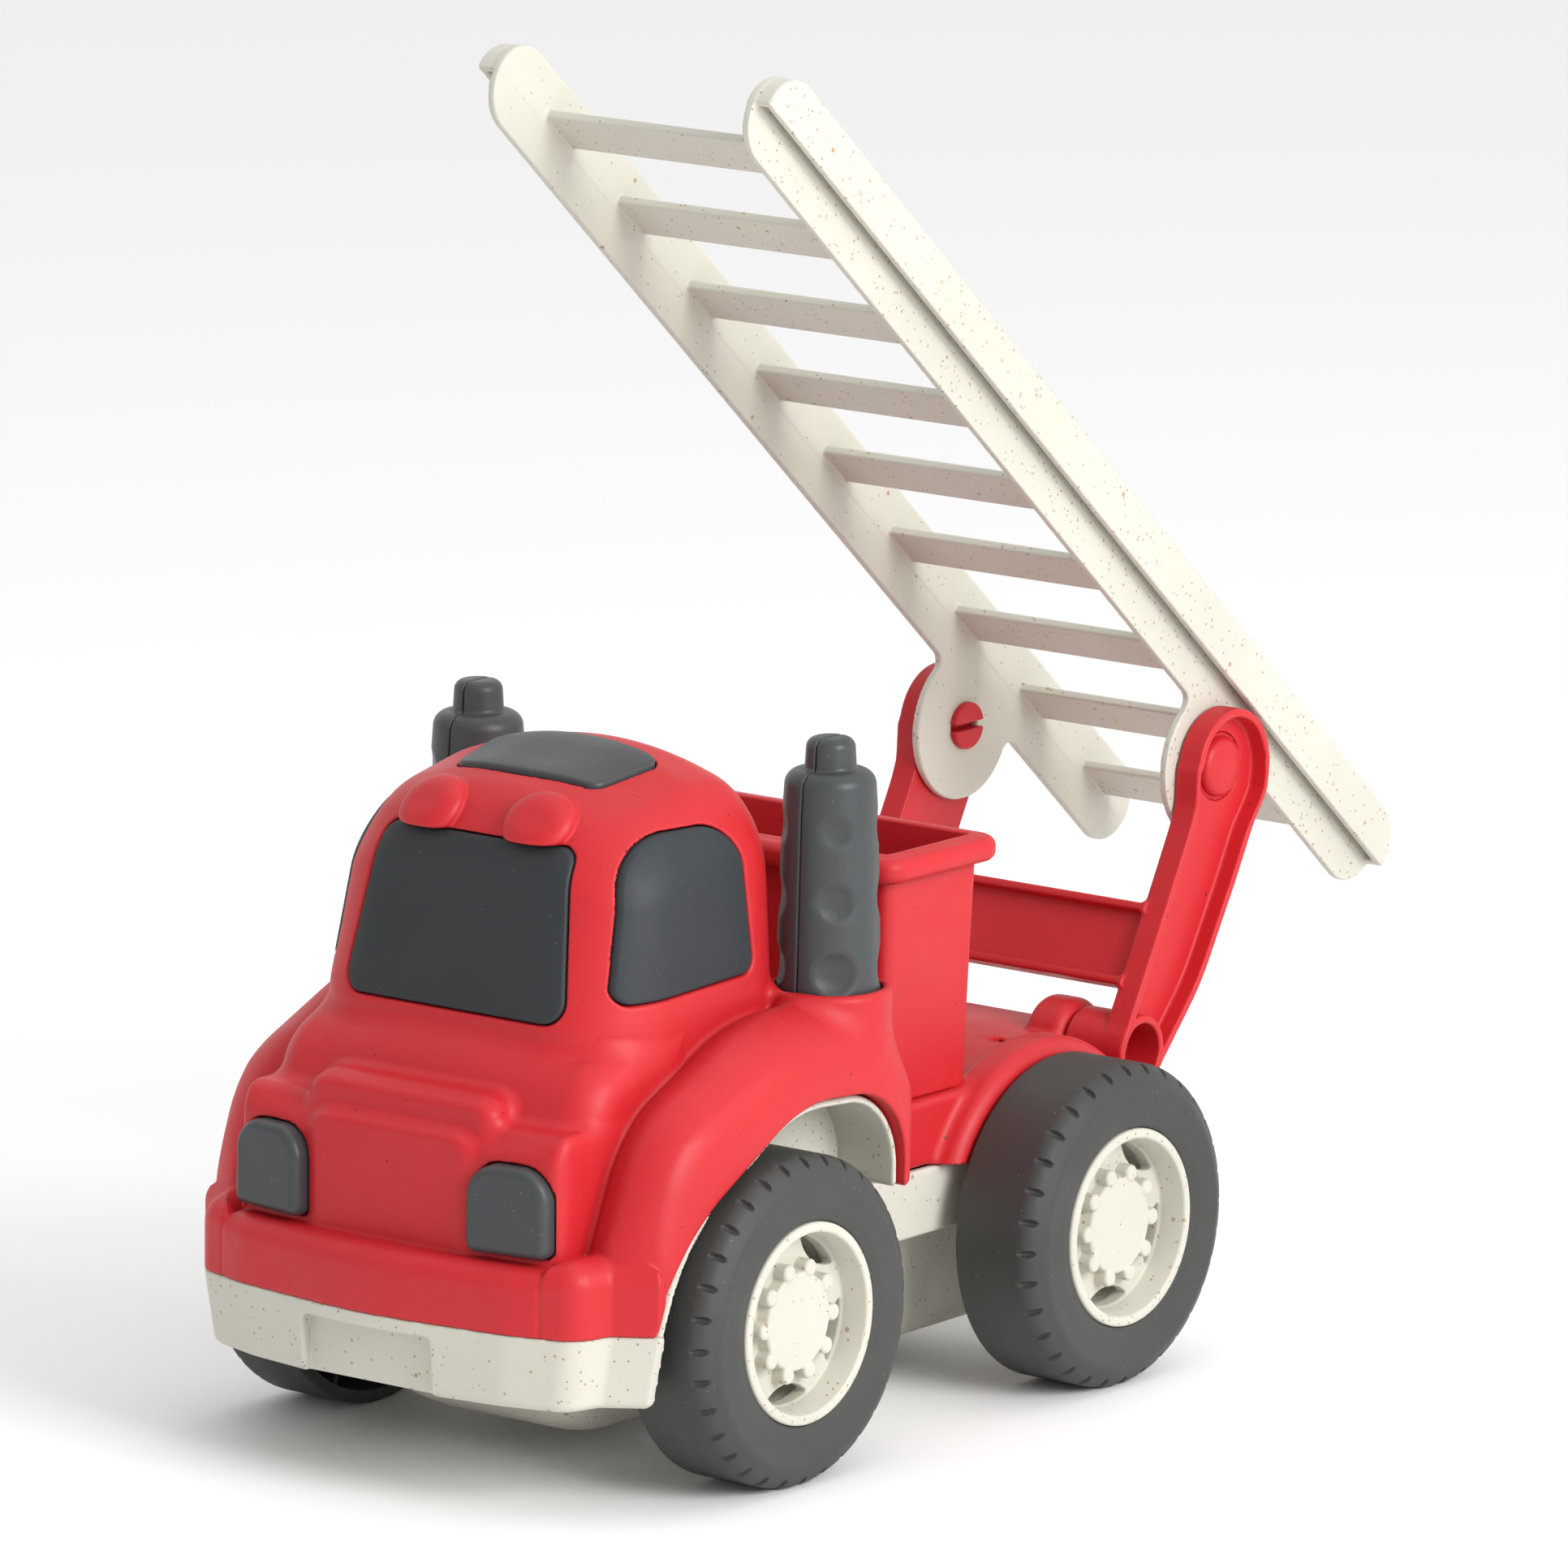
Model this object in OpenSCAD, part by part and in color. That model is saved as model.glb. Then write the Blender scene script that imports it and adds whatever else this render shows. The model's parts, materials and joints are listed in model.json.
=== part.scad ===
// Toy fire engine: cab, cargo bin, free-rolling wheels, swinging boom and tilting ladder.
// Millimetres. +Z is up, +X is the engine's left side and the cab faces -Y.
// The origin is on the ground, at the middle of the whole object's length and width.

/* [Wheels] */
// Distance between the front and rear axles
wheelbase = 121; // [119:0.5:123]
// Radius of a tyre
tyre_r = 38; // [36.5:0.5:38]
// Width of a tyre
tyre_w = 23; // [21:0.5:24]
// Radius of the hub where the tyre seats on it
hub_r = 23.2; // [22:0.2:24]
// Radius of the steel axles
axle_r = 2; // [1.5:0.25:2.5]
// Notches around a tyre's outer shoulder
tyre_notches = 36; // [24:2:40]

/* [Body] */
// Wall thickness of the moulded shells
wall = 2.2; // [1.8:0.1:2.4]
// Half width of the cab at its belt line
cab_half_w = 46; // [45.5:0.5:46]
// Height of the top of the rear deck
deck_z = 71; // [70:0.5:72]
// Height of the joint between the red body and the pale chassis at the bumper
joint_z = 42; // [41:0.5:43]
// Height of the cargo bin's rim
bin_rim_z = 130; // [124:1:132]

/* [Ladder] */
// Angle of the ladder above level as it stands
ladder_angle = 41.25; // [36:0.25:45]
// Length of the ladder above its pivot
ladder_up = 251; // [220:1:251]
// Length of the ladder below its pivot
ladder_down = 71; // [65:1:72]
// Number of rungs
rung_count = 9; // [7:1:9]

/* [Fits] */
// Radial clearance of a running fit
run_gap = 0.06; // [0.03:0.01:0.1]
// Gap between neighbouring mouldings
gap = 0.3; // [0.2:0.05:0.4]

/* [Hidden] */

$fn = 96;
corner_steps = 6;

red = "#e0443f";
pale = "#f1eedd";
grey = "#5a5c5c";
steel = "#c4c7ca";

// wheels and axles
rear_axle_y = 22.5;
front_axle_y = rear_axle_y - wheelbase;
axle_z = tyre_r;
wheel_out_x = 74;
wheel_in_x = wheel_out_x - tyre_w;

// boom hinge and ladder pivot, as [y, z]
hinge = [65.5, 68];
pivot = [100.5, 130.2];
hinge_hub_r = 8.6;
hinge_in_x = 27.3;
spigot_r = 4.5;
spigot_in_x = 19;
boss_r = 10;
boss_in_x = 16;
arm_in_x = 37.9;
arm_out_x = 44.5;
arm_wall = 2;
arm_head_r = 14.2;
pin_r = 5;
pin_head = [[0, 0, 0], [7.2, 0, 0], [7, 2.4, 1.6], [3.5, 3.3, 4], [0, 3.5, 0]];

// ladder section, in the ladder's own [u, n] plane: u runs up the ladder, n stands off it
rail_in_x = 35.5;
rail_out_x = 42;
rail_wall = 2;
rail_n = [7.5, 28];
lip_n = 16.6;
disc_r = 18;
rung_first_u = 230.2;
rung_pitch = 34.65;
rung_size = [13, 2.2];
rung_n = 18;

// exhaust stacks
stack_at = [51.1, -64.25];
stack_base_z = 100;
socket_z = 107;
socket_r = 14.6;
dimple_z = [111.7, 127.8, 143.9];
dimple_r = 8.4;
dimple_depth = 1.3;

// bin, as half widths and [front, rear] positions
bin_top = [44, -33, 2.5];
bin_foot = [42, -31.5, 1];
bin_rim = [48, -37, 6.3];
bin_rim_h = 6;

// chassis
bumper_z = 25;
belly_half_w = 30;
belly_z = 6;
tray_half_w = 45;
tray_joint_z = 55;
liner_wall = 2;
plate_z = [25, 38.7];

// ---------- outlines ----------

function unit(v) = v / norm(v);

// Points of one corner of a path of [x, y, radius]
function corner(p, i) =
    let (n = len(p),
         b = [p[i][0], p[i][1]],
         a = [p[(i + n - 1) % n][0], p[(i + n - 1) % n][1]],
         c = [p[(i + 1) % n][0], p[(i + 1) % n][1]],
         r = p[i][2])
    r <= 0 ? [b] :
    let (u = unit(a - b), v = unit(c - b),
         half = acos(u * v) / 2,
         centre = b + unit(u + v) * r / sin(half),
         s = b + u * r / tan(half) - centre,
         e = b + v * r / tan(half) - centre,
         a0 = atan2(s[1], s[0]),
         turn = atan2(e[1], e[0]) - a0,
         sweep = turn > 180 ? turn - 360 : turn < -180 ? turn + 360 : turn)
    [for (k = [0 : corner_steps])
        centre + r * [cos(a0 + sweep * k / corner_steps), sin(a0 + sweep * k / corner_steps)]];

function rounded(p) = [for (i = [0 : len(p) - 1]) each corner(p, i)];

// The same path moved inwards by d; the path runs anticlockwise
function inset(p, d) =
    [for (i = [0 : len(p) - 1])
        let (n = len(p),
             b = [p[i][0], p[i][1]],
             a = [p[(i + n - 1) % n][0], p[(i + n - 1) % n][1]],
             c = [p[(i + 1) % n][0], p[(i + 1) % n][1]],
             e1 = unit(b - a), e2 = unit(c - b),
             n1 = [-e1[1], e1[0]], n2 = [-e2[1], e2[0]],
             q = b + (n1 + n2) * d / (1 + n1 * n2),
             convex = e1[0] * e2[1] - e1[1] * e2[0] > 0,
             r = p[i][2])
        [q[0], q[1], r <= 0 ? 0 : convex ? max(r - d, 0.4) : r + d]];

// A rounded rectangle path from [x0, y0] to [x1, y1]
function box_path(x0, y0, x1, y1, r) = [[x0, y0, r], [x1, y0, r], [x1, y1, r], [x0, y1, r]];

// ---------- placing ----------

// A [y, z] outline extruded from x0 to x1
module along_x(path, x0, x1) {
    translate([x0, 0, 0]) rotate([90, 0, 90])
        linear_extrude(x1 - x0) polygon(rounded(path));
}

// An [x, z] outline extruded from y0 to y1
module along_y(path, y0, y1) {
    translate([0, y1, 0]) rotate([90, 0, 0])
        linear_extrude(y1 - y0) polygon(rounded(path));
}

// An [x, y] outline extruded from z0 to z1
module along_z(path, z0, z1) {
    translate([0, 0, z0]) linear_extrude(z1 - z0) polygon(rounded(path));
}

// A cylinder along X, centred on [y, z]
module rod_x(yz, r, x0, x1) {
    translate([x0, yz[0], yz[1]]) rotate([0, 90, 0]) cylinder(r = r, h = x1 - x0);
}

module rod_z(xy, r, z0, z1) {
    translate([xy[0], xy[1], z0]) cylinder(r = r, h = z1 - z0);
}

module both_sides() {
    children();
    mirror([1, 0, 0]) children();
}

// side = 1 is the left side, -1 the right
module on_side(side) {
    if (side > 0) children(); else mirror([1, 0, 0]) children();
}

// ---------- cab ----------

cab_rear_y = -65;
cab_front_y = -137.5;
cab_side = [
    [cab_front_y, 36, 0], [cab_rear_y, 36, 0], [cab_rear_y - 2, 160, 18], [-93, 160.8, 25],
    [-111, 156.2, 30], [-127, 151, 5], [cab_front_y, 104.5, 6]
];
cab_front = [
    [-cab_half_w, 36, 0], [cab_half_w, 36, 0], [cab_half_w, 107, 80], [42.2, 156, 15],
    [22, 161.5, 60], [-22, 161.5, 60], [-42.2, 156, 15], [-cab_half_w, 107, 80]
];
cab_plan = [
    [-cab_half_w, cab_front_y, 25], [cab_half_w, cab_front_y, 25], [cab_half_w, cab_rear_y, 20],
    [-cab_half_w, cab_rear_y, 20]
];

// The cab block, shrunk by d
module cab_block(d) {
    intersection() {
        along_x(inset(cab_side, d), -60, 60);
        along_y(inset(cab_front, d), -160, -60);
        along_z(inset(cab_plan, d), 30, 180);
    }
}

// The bonnet, the raised panels along its middle and the headlight pods, as side outlines
bonnet_half_w = 47;
bonnet_side = [
    [-147.5, 36, 0], [-121, 36, 0], [-121, 104, 0], [-128, 103.5, 14], [-141, 98.5, 14], [-147.5, 88, 6]
];
panel_half_w = 32;
panel_side = [
    [-157.5, 35, 0], [-120, 35, 0], [-120, 103.8, 0], [-137, 102, 20], [-150, 97, 12], [-157.5, 90, 8]
];
grille_half_w = 25;
grille_side = [[-161, 34, 0], [-119, 34, 0], [-119, 87, 0], [-155, 87, 10], [-161, 80, 6]];
pod_side = [[-159, 33, 0], [-118, 33, 0], [-118, 86.5, 0], [-150, 86, 8], [-159, 79, 8]];
bonnet_plan = [
    [-bonnet_half_w - 1, -155.5, 11], [-24, -161, 25], [24, -161, 25], [bonnet_half_w + 1, -155.5, 11],
    [bonnet_half_w + 3, -110, 0], [-bonnet_half_w - 3, -110, 0]
];

// The bonnet and nose, shrunk by d
module bonnet_block(d) {
    intersection() {
        union() {
            along_x(inset(bonnet_side, d), -60, 60);
            along_x(inset(panel_side, d), d - panel_half_w, panel_half_w - d);
            along_x(inset(grille_side, d), d - grille_half_w, grille_half_w - d);
            along_x(inset(pod_side, d), -60, 60);
        }
        along_z(inset(bonnet_plan, d), 30, 120);
        along_y(inset(box_path(-bonnet_half_w, 30, bonnet_half_w, 105, 8), d), -170, -110);
    }
}

// Bumper outline seen from above: bowed nose, short ends, then out to the wheel arch
bumper_path = [
    [-66, -139.5, 0], [-66, -143.2, 0], [-57, -149.5, 2], [-54.5, -158.8, 4], [-38, -163.6, 30],
    [0, -168.6, 120],
    [38, -163.6, 30], [54.5, -158.8, 4], [57, -149.5, 2], [66, -143.2, 0], [66, -139.5, 0]
];

// Opening of the front wheel arch, as [y, z]
arch_path = [
    [-143.5, 36, 0], [-63.5, 36, 0], [-63.5, 86, 16], [-94.7, 86, 40], [-134.8, 62.9, 45],
    [-143.5, 42, 0]
];
fender_side = [
    [-150, 36, 0], [-53, 36, 0], [-53, 106, 16], [-100, 106, 50], [-138, 86, 34], [-149, 58, 30]
];
fender_front = [[38, 30, 0], [66, 30, 0], [69.5, 84, 8], [62, 106, 18], [38, 110, 0]];
fender_plan = [
    [38, -154, 0], [56, -150, 3], [66.5, -142, 4], [69.5, -98, 60], [69, -58, 12], [58, -50, 12],
    [38, -50, 0]
];

fender_in_x = 42;
fender_foot_z = 62;
bumper_top_z = 56;

module fender(d) {
    intersection() {
        along_x(inset(fender_side, d), fender_in_x, 75);
        along_y(inset(fender_front, d), -160, -40);
        along_z(inset(fender_plan, d), 20, 120);
    }
}

windscreen_path = [[-32, 106, 5], [32, 106, 5], [27, 144.8, 4.5], [-27, 144.8, 4.5]];
side_window_path = [[-129.4, 110.6, 3.5], [-84.2, 112.2, 4], [-86.8, 147.2, 12], [-121.4, 147.2, 17]];
sunroof_path = [[-20, -111.5, 5], [20, -111.5, 5], [24, -87, 6], [-24, -87, 6]];
headlight_path = [[-11.5, 58.5, 2.5], [11.5, 58.5, 2.5], [11.3, 79.8, 8], [-11.3, 79.8, 8]];
headlight_at = [34.4, -157.6];
headlight_toe = 9.3;

module headlight_prism(d, y0, y1) {
    translate([headlight_at[0], headlight_at[1], 0]) rotate([0, 0, headlight_toe])
        along_y(inset(headlight_path, d), y0, y1);
}

cab_posts = [[30, -147.8], [39.5, -79]];

module cab_outside() {
    cab_block(0);
    bonnet_block(0);
    along_z(bumper_path, joint_z - 2, bumper_top_z);
    both_sides() {
        fender(0);
        translate([16.2, -122, 149.5]) rotate([60, 0, 0]) cylinder(r = 6.5, h = 9, center = true);
    }
}

module cab_inside() {
    cab_block(wall);
    bonnet_block(wall);
    along_z(inset(bumper_path, wall), joint_z - 3, bumper_top_z - wall);
    both_sides() intersection() {
        fender(wall);
        translate([cab_half_w + 0.4, -200, 0]) cube([60, 200, 200]);
    }
}

module cab_shell() {
    color(red) {
        difference() {
            union() {
                difference() {
                    cab_outside();
                    cab_inside();
                }
                both_sides() rod_z(stack_at, socket_r, 64, socket_z);
            }
            both_sides() {
                along_x(arch_path, cab_half_w + 0.9, 90);
                rod_z(stack_at, 12.2, 60, stack_base_z - wall);
                rod_z(stack_at, 12.2, stack_base_z, 130);
                along_x(side_window_path, 30, 60);
                headlight_prism(0, -20, 12);
                translate([cab_half_w + 0.9, -80, 0]) cube([60, 60, fender_foot_z]);
            }
            along_y(windscreen_path, -160, -118);
            along_z(sunroof_path, 145, 180);
            translate([-100, -200, 0]) cube([200, 200, joint_z]);
        }
        both_sides() cab_post(cab_posts[0], bumper_z + wall + gap, 85);
        both_sides() cab_post(cab_posts[1], joint_z + gap, 90);
    }
}

module cab_post(at, z0, z1) {
    difference() {
        rod_z(at, 4, z0, z1);
        rod_z(at, 1.52, z0 - 1, z0 + 14);
    }
}

module cab_panel(proud) {
    difference() {
        cab_block(-proud);
        cab_block(wall);
    }
}

module windscreen() {
    color(grey) intersection() {
        cab_panel(0.2);
        along_y(inset(windscreen_path, gap), -160, -118);
    }
}

module side_window(side) {
    color(grey) on_side(side) intersection() {
        cab_panel(0.2);
        along_x(inset(side_window_path, gap), 30, 60);
    }
}
module side_window_left() { side_window(1); }
module side_window_right() { side_window(-1); }

module sunroof() {
    color(grey) intersection() {
        cab_panel(1);
        along_z(inset(sunroof_path, gap), 145, 180);
    }
}

module headlight(side) {
    color(grey) on_side(side) headlight_prism(gap, -2.6, 5);
}
module headlight_left() { headlight(1); }
module headlight_right() { headlight(-1); }

// ---------- exhaust stacks ----------

stack_path = [
    [0, stack_base_z + gap, 0], [11.9, stack_base_z + gap, 0.8], [11.9, socket_z + 1, 0], [10.7, 152, 30],
    [10.2, 156.5, 3.5], [5.8, 156.6, 0], [5.4, 164, 2.6], [0, 164, 0]
];
stack_bore = [[0, stack_base_z + wall, 0], [9.6, stack_base_z + wall, 1], [8.6, 150, 3], [0, 153, 0]];

// inward = 1 is the half next to the cab
module stack_half(side, inward) {
    color(grey) on_side(side) translate([stack_at[0], stack_at[1], 0]) intersection() {
        difference() {
            rotate_extrude() polygon(rounded(stack_path));
            rotate_extrude() polygon(rounded(stack_bore));
            for (az = [45, 135, 225, 315], z = dimple_z)
                rotate([0, 0, az]) translate([11.4 + dimple_r - dimple_depth, 0, z])
                    sphere(r = dimple_r, $fn = 48);
        }
        translate([inward ? -30.08 : 0.08, -30, 0]) cube([30, 60, 200]);
    }
}
module stack_left_outer() { stack_half(1, 0); }
module stack_left_inner() { stack_half(1, 1); }
module stack_right_outer() { stack_half(-1, 0); }
module stack_right_inner() { stack_half(-1, 1); }

// ---------- rear deck ----------

deck_plan = [
    [36, cab_rear_y + 0.9, 0], [36, -49, 0], [44.5, -49, 3], [44.5, 50, 4], [26.5, 54, 2], [26.5, 72, 8],
    [-26.5, 72, 8], [-26.5, 54, 2], [-44.5, 50, 4], [-44.5, -49, 3], [-36, -49, 0],
    [-36, cab_rear_y + 0.9, 0]
];
deck_posts = [[38, -42], [36, 44]];
bin_posts = [26, -15.5];

// The curved guard beside each rear wheel
guard_path = [[axle_z + 3, 40, 0], [axle_z + 3, 50, 4], [0, 50, 0], [0, 40, 0]];

module guard(d) {
    intersection() {
        translate([0, rear_axle_y, axle_z]) rotate([0, 90, 0]) rotate_extrude()
            polygon(rounded(inset(guard_path, d)));
        translate([30, -60, tray_joint_z + gap]) cube([40, 150, 60]);
    }
}

module deck_shell() {
    color(red) difference() {
        union() {
            difference() {
                union() {
                    along_z(deck_plan, tray_joint_z + gap, deck_z);
                    both_sides() guard(0);
                }
                difference() {
                    union() {
                        along_z(inset(deck_plan, wall), 40, deck_z - wall);
                        both_sides() translate([0, 0, -gap]) guard(wall);
                    }
                    both_sides() rod_x(hinge, boss_r, boss_in_x, hinge_in_x - gap);
                }
            }
            both_sides() {
                rod_x(hinge, boss_r, boss_in_x, hinge_in_x - gap);
                for (at = deck_posts) rod_z(at, 4, joint_z + gap, deck_z - wall / 2);
            }
        }
        both_sides() {
            rod_x(hinge, spigot_r + run_gap, spigot_in_x - 1, 40);
            for (at = deck_posts) rod_z(at, 1.52, joint_z, joint_z + 14);
            rod_z(bin_posts, 4.3, 60, 90);
            translate([17, 42, 60]) cube([9, 3.4, 30]);
        }
    }
}

// ---------- cargo bin ----------

function bin_path(b, r) = box_path(-b[0], b[1], b[0], b[2], r);

module bin_block(d, z0, z1) {
    hull() {
        along_z(inset(bin_path(bin_foot, 5), d), z0, z0 + 0.1);
        along_z(inset(bin_path(bin_top, 5), d), z1 - 0.1, z1);
    }
}

module cargo_bin() {
    color(red) difference() {
        union() {
            bin_block(0, deck_z, bin_rim_z);
            along_z(bin_path(bin_rim, 8), bin_rim_z - bin_rim_h, bin_rim_z);
            both_sides() rod_z(bin_posts, 4, deck_z - 7, deck_z + 3);
        }
        bin_block(wall, deck_z + wall, bin_rim_z + 1);
        difference() {
            along_z(inset(bin_path(bin_rim, 8), 1.8), bin_rim_z - bin_rim_h - 1, bin_rim_z - wall);
            bin_block(0, deck_z, bin_rim_z);
        }
        both_sides() rod_z(bin_posts, 1.52, deck_z - 8, deck_z + wall - 1);
    }
}

// ---------- chassis ----------

// The belly, shrunk by d and cut off at height top
module belly(d, top) {
    intersection() {
        along_x(inset([[-122, top + d, 0], [-122, 18, 22], [-108, belly_z, 12], [28, belly_z, 12],
            [50, 22, 22], [50, top + d, 0]], d), -60, 60);
        along_y(inset([[-belly_half_w, top + d, 0], [-belly_half_w + 6, belly_z, 14],
            [belly_half_w - 6, belly_z, 14], [belly_half_w, top + d, 0]], d), -150, 90);
    }
}

// The pale housing over each front wheel, just inside the red arch
liner_in_x = cab_half_w + 1.3;

module wheel_liner() {
    difference() {
        intersection() {
            along_x(inset(arch_path, 0.5), liner_in_x, 64);
            translate([0, -200, joint_z - 1.4]) cube([100, 200, 60]);
        }
        translate([0, 0, -20]) along_x(inset(arch_path, liner_wall), liner_in_x + liner_wall, 90);
        along_x(inset(arch_path, liner_wall), liner_in_x + liner_wall, 91);
        rod_x([axle_ys[0], axle_z], 38.6, liner_in_x + liner_wall, 92);
    }
}

// The pale half of the bumper with a shallow recess for a number plate
module bumper_pan() {
    difference() {
        union() {
            linear_extrude(joint_z - bumper_z) difference() {
                polygon(rounded(bumper_path));
                polygon(rounded(inset(bumper_path, wall)));
            }
            linear_extrude(wall) polygon(rounded(inset(bumper_path, 0.5)));
            translate([-20, -165.6, 0.5]) cube([40, wall + 0.4, plate_z[1] - plate_z[0] + 1]);
        }
        translate([0, 0, -bumper_z])
            along_y([[-18, 20, 0], [18, 20, 0], [18.4, plate_z[1], 1.5], [-18.4, plate_z[1], 1.5]],
                -175, -165.2);
    }
}

tray_z = joint_z - wall - gap;
tray_path = box_path(-tray_half_w, -50, tray_half_w, 72, 4);
axle_ys = [front_axle_y, rear_axle_y];

module chassis_pan() {
    color(pale) difference() {
        union() {
            translate([0, 0, bumper_z]) bumper_pan();
            translate([0, 0, joint_z - wall]) linear_extrude(wall - 0.2) {
                polygon(rounded(box_path(-liner_in_x - 1.7, -143, liner_in_x + 1.7, -64, 4)));
                polygon(rounded(box_path(-40, -70, 40, -40, 4)));
            }
            difference() {
                along_z(tray_path, tray_z, tray_joint_z);
                along_z(inset(tray_path, wall), joint_z - 0.4, tray_joint_z + 1);
            }
            belly(0, joint_z - 1);
            both_sides() {
                wheel_liner();
                for (y = axle_ys) rod_x([y, axle_z], 5, 20, 43.3);
            }
        }
        difference() {
            translate([0, 0, wall]) belly(wall, joint_z + 5);
            for (y = axle_ys) rod_x([y, axle_z], 5, -45.8, 45.8);
        }
        for (y = axle_ys) rod_x([y, axle_z], axle_r + run_gap, -60, 60);
        both_sides() {
            rod_z(cab_posts[0], 1.8, bumper_z - 5, bumper_z + 5);
            rod_z(cab_posts[1], 1.8, joint_z - 5, joint_z + 2);
            for (at = deck_posts) rod_z(at, 1.8, joint_z - 5, joint_z + 2);
        }
    }
}

// ---------- screws ----------

// A pan-head screw with its head below z
module screw(at, z, reach) {
    difference() {
        union() {
            rod_z(at, 3, z - 2, z);
            rod_z(at, 1.5, z - 0.5, z + reach);
        }
        translate([at[0] - 2, at[1] - 0.35, z - 3]) cube([4, 0.7, 1.8]);
        translate([at[0] - 0.35, at[1] - 2, z - 3]) cube([0.7, 4, 1.8]);
    }
}

module cab_screws() {
    color(steel) both_sides() {
        screw(cab_posts[0], bumper_z, 12);
        screw(cab_posts[1], joint_z - wall, 12);
    }
}

module deck_screws() {
    color(steel) both_sides() for (at = deck_posts) screw(at, tray_z, 12);
}

module bin_screws() {
    color(steel) both_sides() screw(bin_posts, deck_z - 7, 7);
}

// ---------- wheels ----------

// Children are drawn with the axle along +Z and the outer face up, then set on the wheel's side
module at_wheel(side, axle_y) {
    on_side(side) translate([0, axle_y, axle_z]) rotate([0, 90, 0]) children();
}

tyre_path = [
    [hub_r + 0.1, wheel_in_x + 6, 0], [hub_r + 2.4, wheel_in_x + 6, 0], [hub_r + 2.4, wheel_out_x - 3.4, 2],
    [tyre_r - 3, wheel_out_x - 5, 4], [tyre_r - 3, wheel_in_x, 0], [tyre_r, wheel_in_x, 1.2],
    [tyre_r, wheel_out_x - 1.2, 5], [hub_r + 2.5, wheel_out_x, 1.5], [hub_r + 0.1, wheel_out_x - 0.8, 0.6]
];

module tyre(side, axle_y) {
    color(grey) at_wheel(side, axle_y) difference() {
        union() {
            rotate_extrude() polygon(rounded(tyre_path));
            for (k = [0 : 11]) rotate([0, 0, k * 30 + 15]) translate([hub_r + 2, -0.8, wheel_in_x + 4])
                cube([tyre_r - hub_r - 4, 1.6, tyre_w - 9]);
        }
        for (k = [0 : tyre_notches - 1]) rotate([0, 0, k * 360 / tyre_notches])
            translate([tyre_r - 0.4, 0, wheel_out_x - 1]) rotate([0, 45, 0])
                cube([2.6, 1.6, 7], center = true);
    }
}
module tyre_front_left() { tyre(1, front_axle_y); }
module tyre_front_right() { tyre(-1, front_axle_y); }
module tyre_rear_left() { tyre(1, rear_axle_y); }
module tyre_rear_right() { tyre(-1, rear_axle_y); }

hub_path = [
    [0, wheel_out_x - 9, 0], [18, wheel_out_x - 9, 0], [20.6, wheel_out_x - 12, 0],
    [20.6, wheel_in_x + 7, 0], [hub_r, wheel_in_x + 7, 0], [hub_r, wheel_out_x - 0.8, 0.8],
    [20.4, wheel_out_x - 0.4, 0.8], [18.6, wheel_out_x - 6.5, 1], [12.5, wheel_out_x - 6.2, 0],
    [12, wheel_out_x - 3.6, 0.8], [0, wheel_out_x - 3.2, 0]
];
hub_studs = 10;
hub_slots = 5;

module hub(side, axle_y) {
    color(pale) at_wheel(side, axle_y) difference() {
        union() {
            rotate_extrude() polygon(rounded(hub_path));
            translate([0, 0, wheel_in_x]) cylinder(r = 4.6, h = tyre_w - 8.5);
            for (k = [0 : hub_studs - 1]) rotate([0, 0, k * 360 / hub_studs])
                translate([12.4, 0, wheel_out_x - 8]) cylinder(r = 1.7, h = 4.6, $fn = 24);
        }
        for (k = [0 : hub_slots - 1]) rotate([0, 0, k * 360 / hub_slots + 18]) intersection() {
            difference() {
                translate([0, 0, 55]) cylinder(r = 18.6, h = 30);
                translate([-8, 0, 50]) cylinder(r = 24, h = 40);
            }
            translate([0, -10, 50]) cube([30, 20, 40]);
        }
        translate([0, 0, 40]) cylinder(r = axle_r, h = 28.9);
    }
}
module hub_front_left() { hub(1, front_axle_y); }
module hub_front_right() { hub(-1, front_axle_y); }
module hub_rear_left() { hub(1, rear_axle_y); }
module hub_rear_right() { hub(-1, rear_axle_y); }

module axle(axle_y) {
    color(steel) rod_x([axle_y, axle_z], axle_r, -68.8, 68.8);
}
module front_axle() { axle(front_axle_y); }
module rear_axle() { axle(rear_axle_y); }

// ---------- boom ----------

arm_path = [
    [70.5, 60.5, 4], [88, 81, 60], [114.2, 132, 0], [86.4, 133, 0], [83.5, 124, 40], [73.2, 99.5, 60], [57, 70, 4]
];
bar_foot = [64, 83.5];
bar_head = [73.8, 101.5];

// The crossbar's channel section: s runs along the arm's front edge and t goes in behind it
function bar_point(s, t) =
    let (e = unit(bar_head - bar_foot)) bar_foot + s * e + t * [e[1], -e[0]];
bar_len = norm(bar_head - bar_foot);
bar_section = [
    for (q = [[0, 0], [2, 0], [2, 3], [bar_len - 2, 3], [bar_len - 2, 0], [bar_len, 0], [bar_len, 5], [0, 5]])
        [bar_point(q[0], q[1])[0], bar_point(q[0], q[1])[1], 0]
];

module boom_frame() {
    color(red) {
        along_x(bar_section, -arm_in_x - 0.5, arm_in_x + 0.5);
        both_sides() difference() {
            union() {
                difference() {
                    union() {
                        along_x(arm_path, arm_in_x, arm_out_x);
                        rod_x(pivot, arm_head_r, arm_in_x, arm_out_x);
                    }
                    union() {
                        along_x(inset(arm_path, arm_wall), arm_in_x + arm_wall, 50);
                        rod_x(pivot, arm_head_r - arm_wall, arm_in_x + arm_wall, 50);
                    }
                }
                rod_x(hinge, hinge_hub_r, hinge_in_x, arm_out_x);
                rod_x(hinge, spigot_r, spigot_in_x, hinge_in_x + 1);
            }
            rod_x(hinge, 6.65, hinge_in_x + 3, 50);
            rod_x(pivot, pin_r + run_gap, 30, 50);
        }
    }
}

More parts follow.
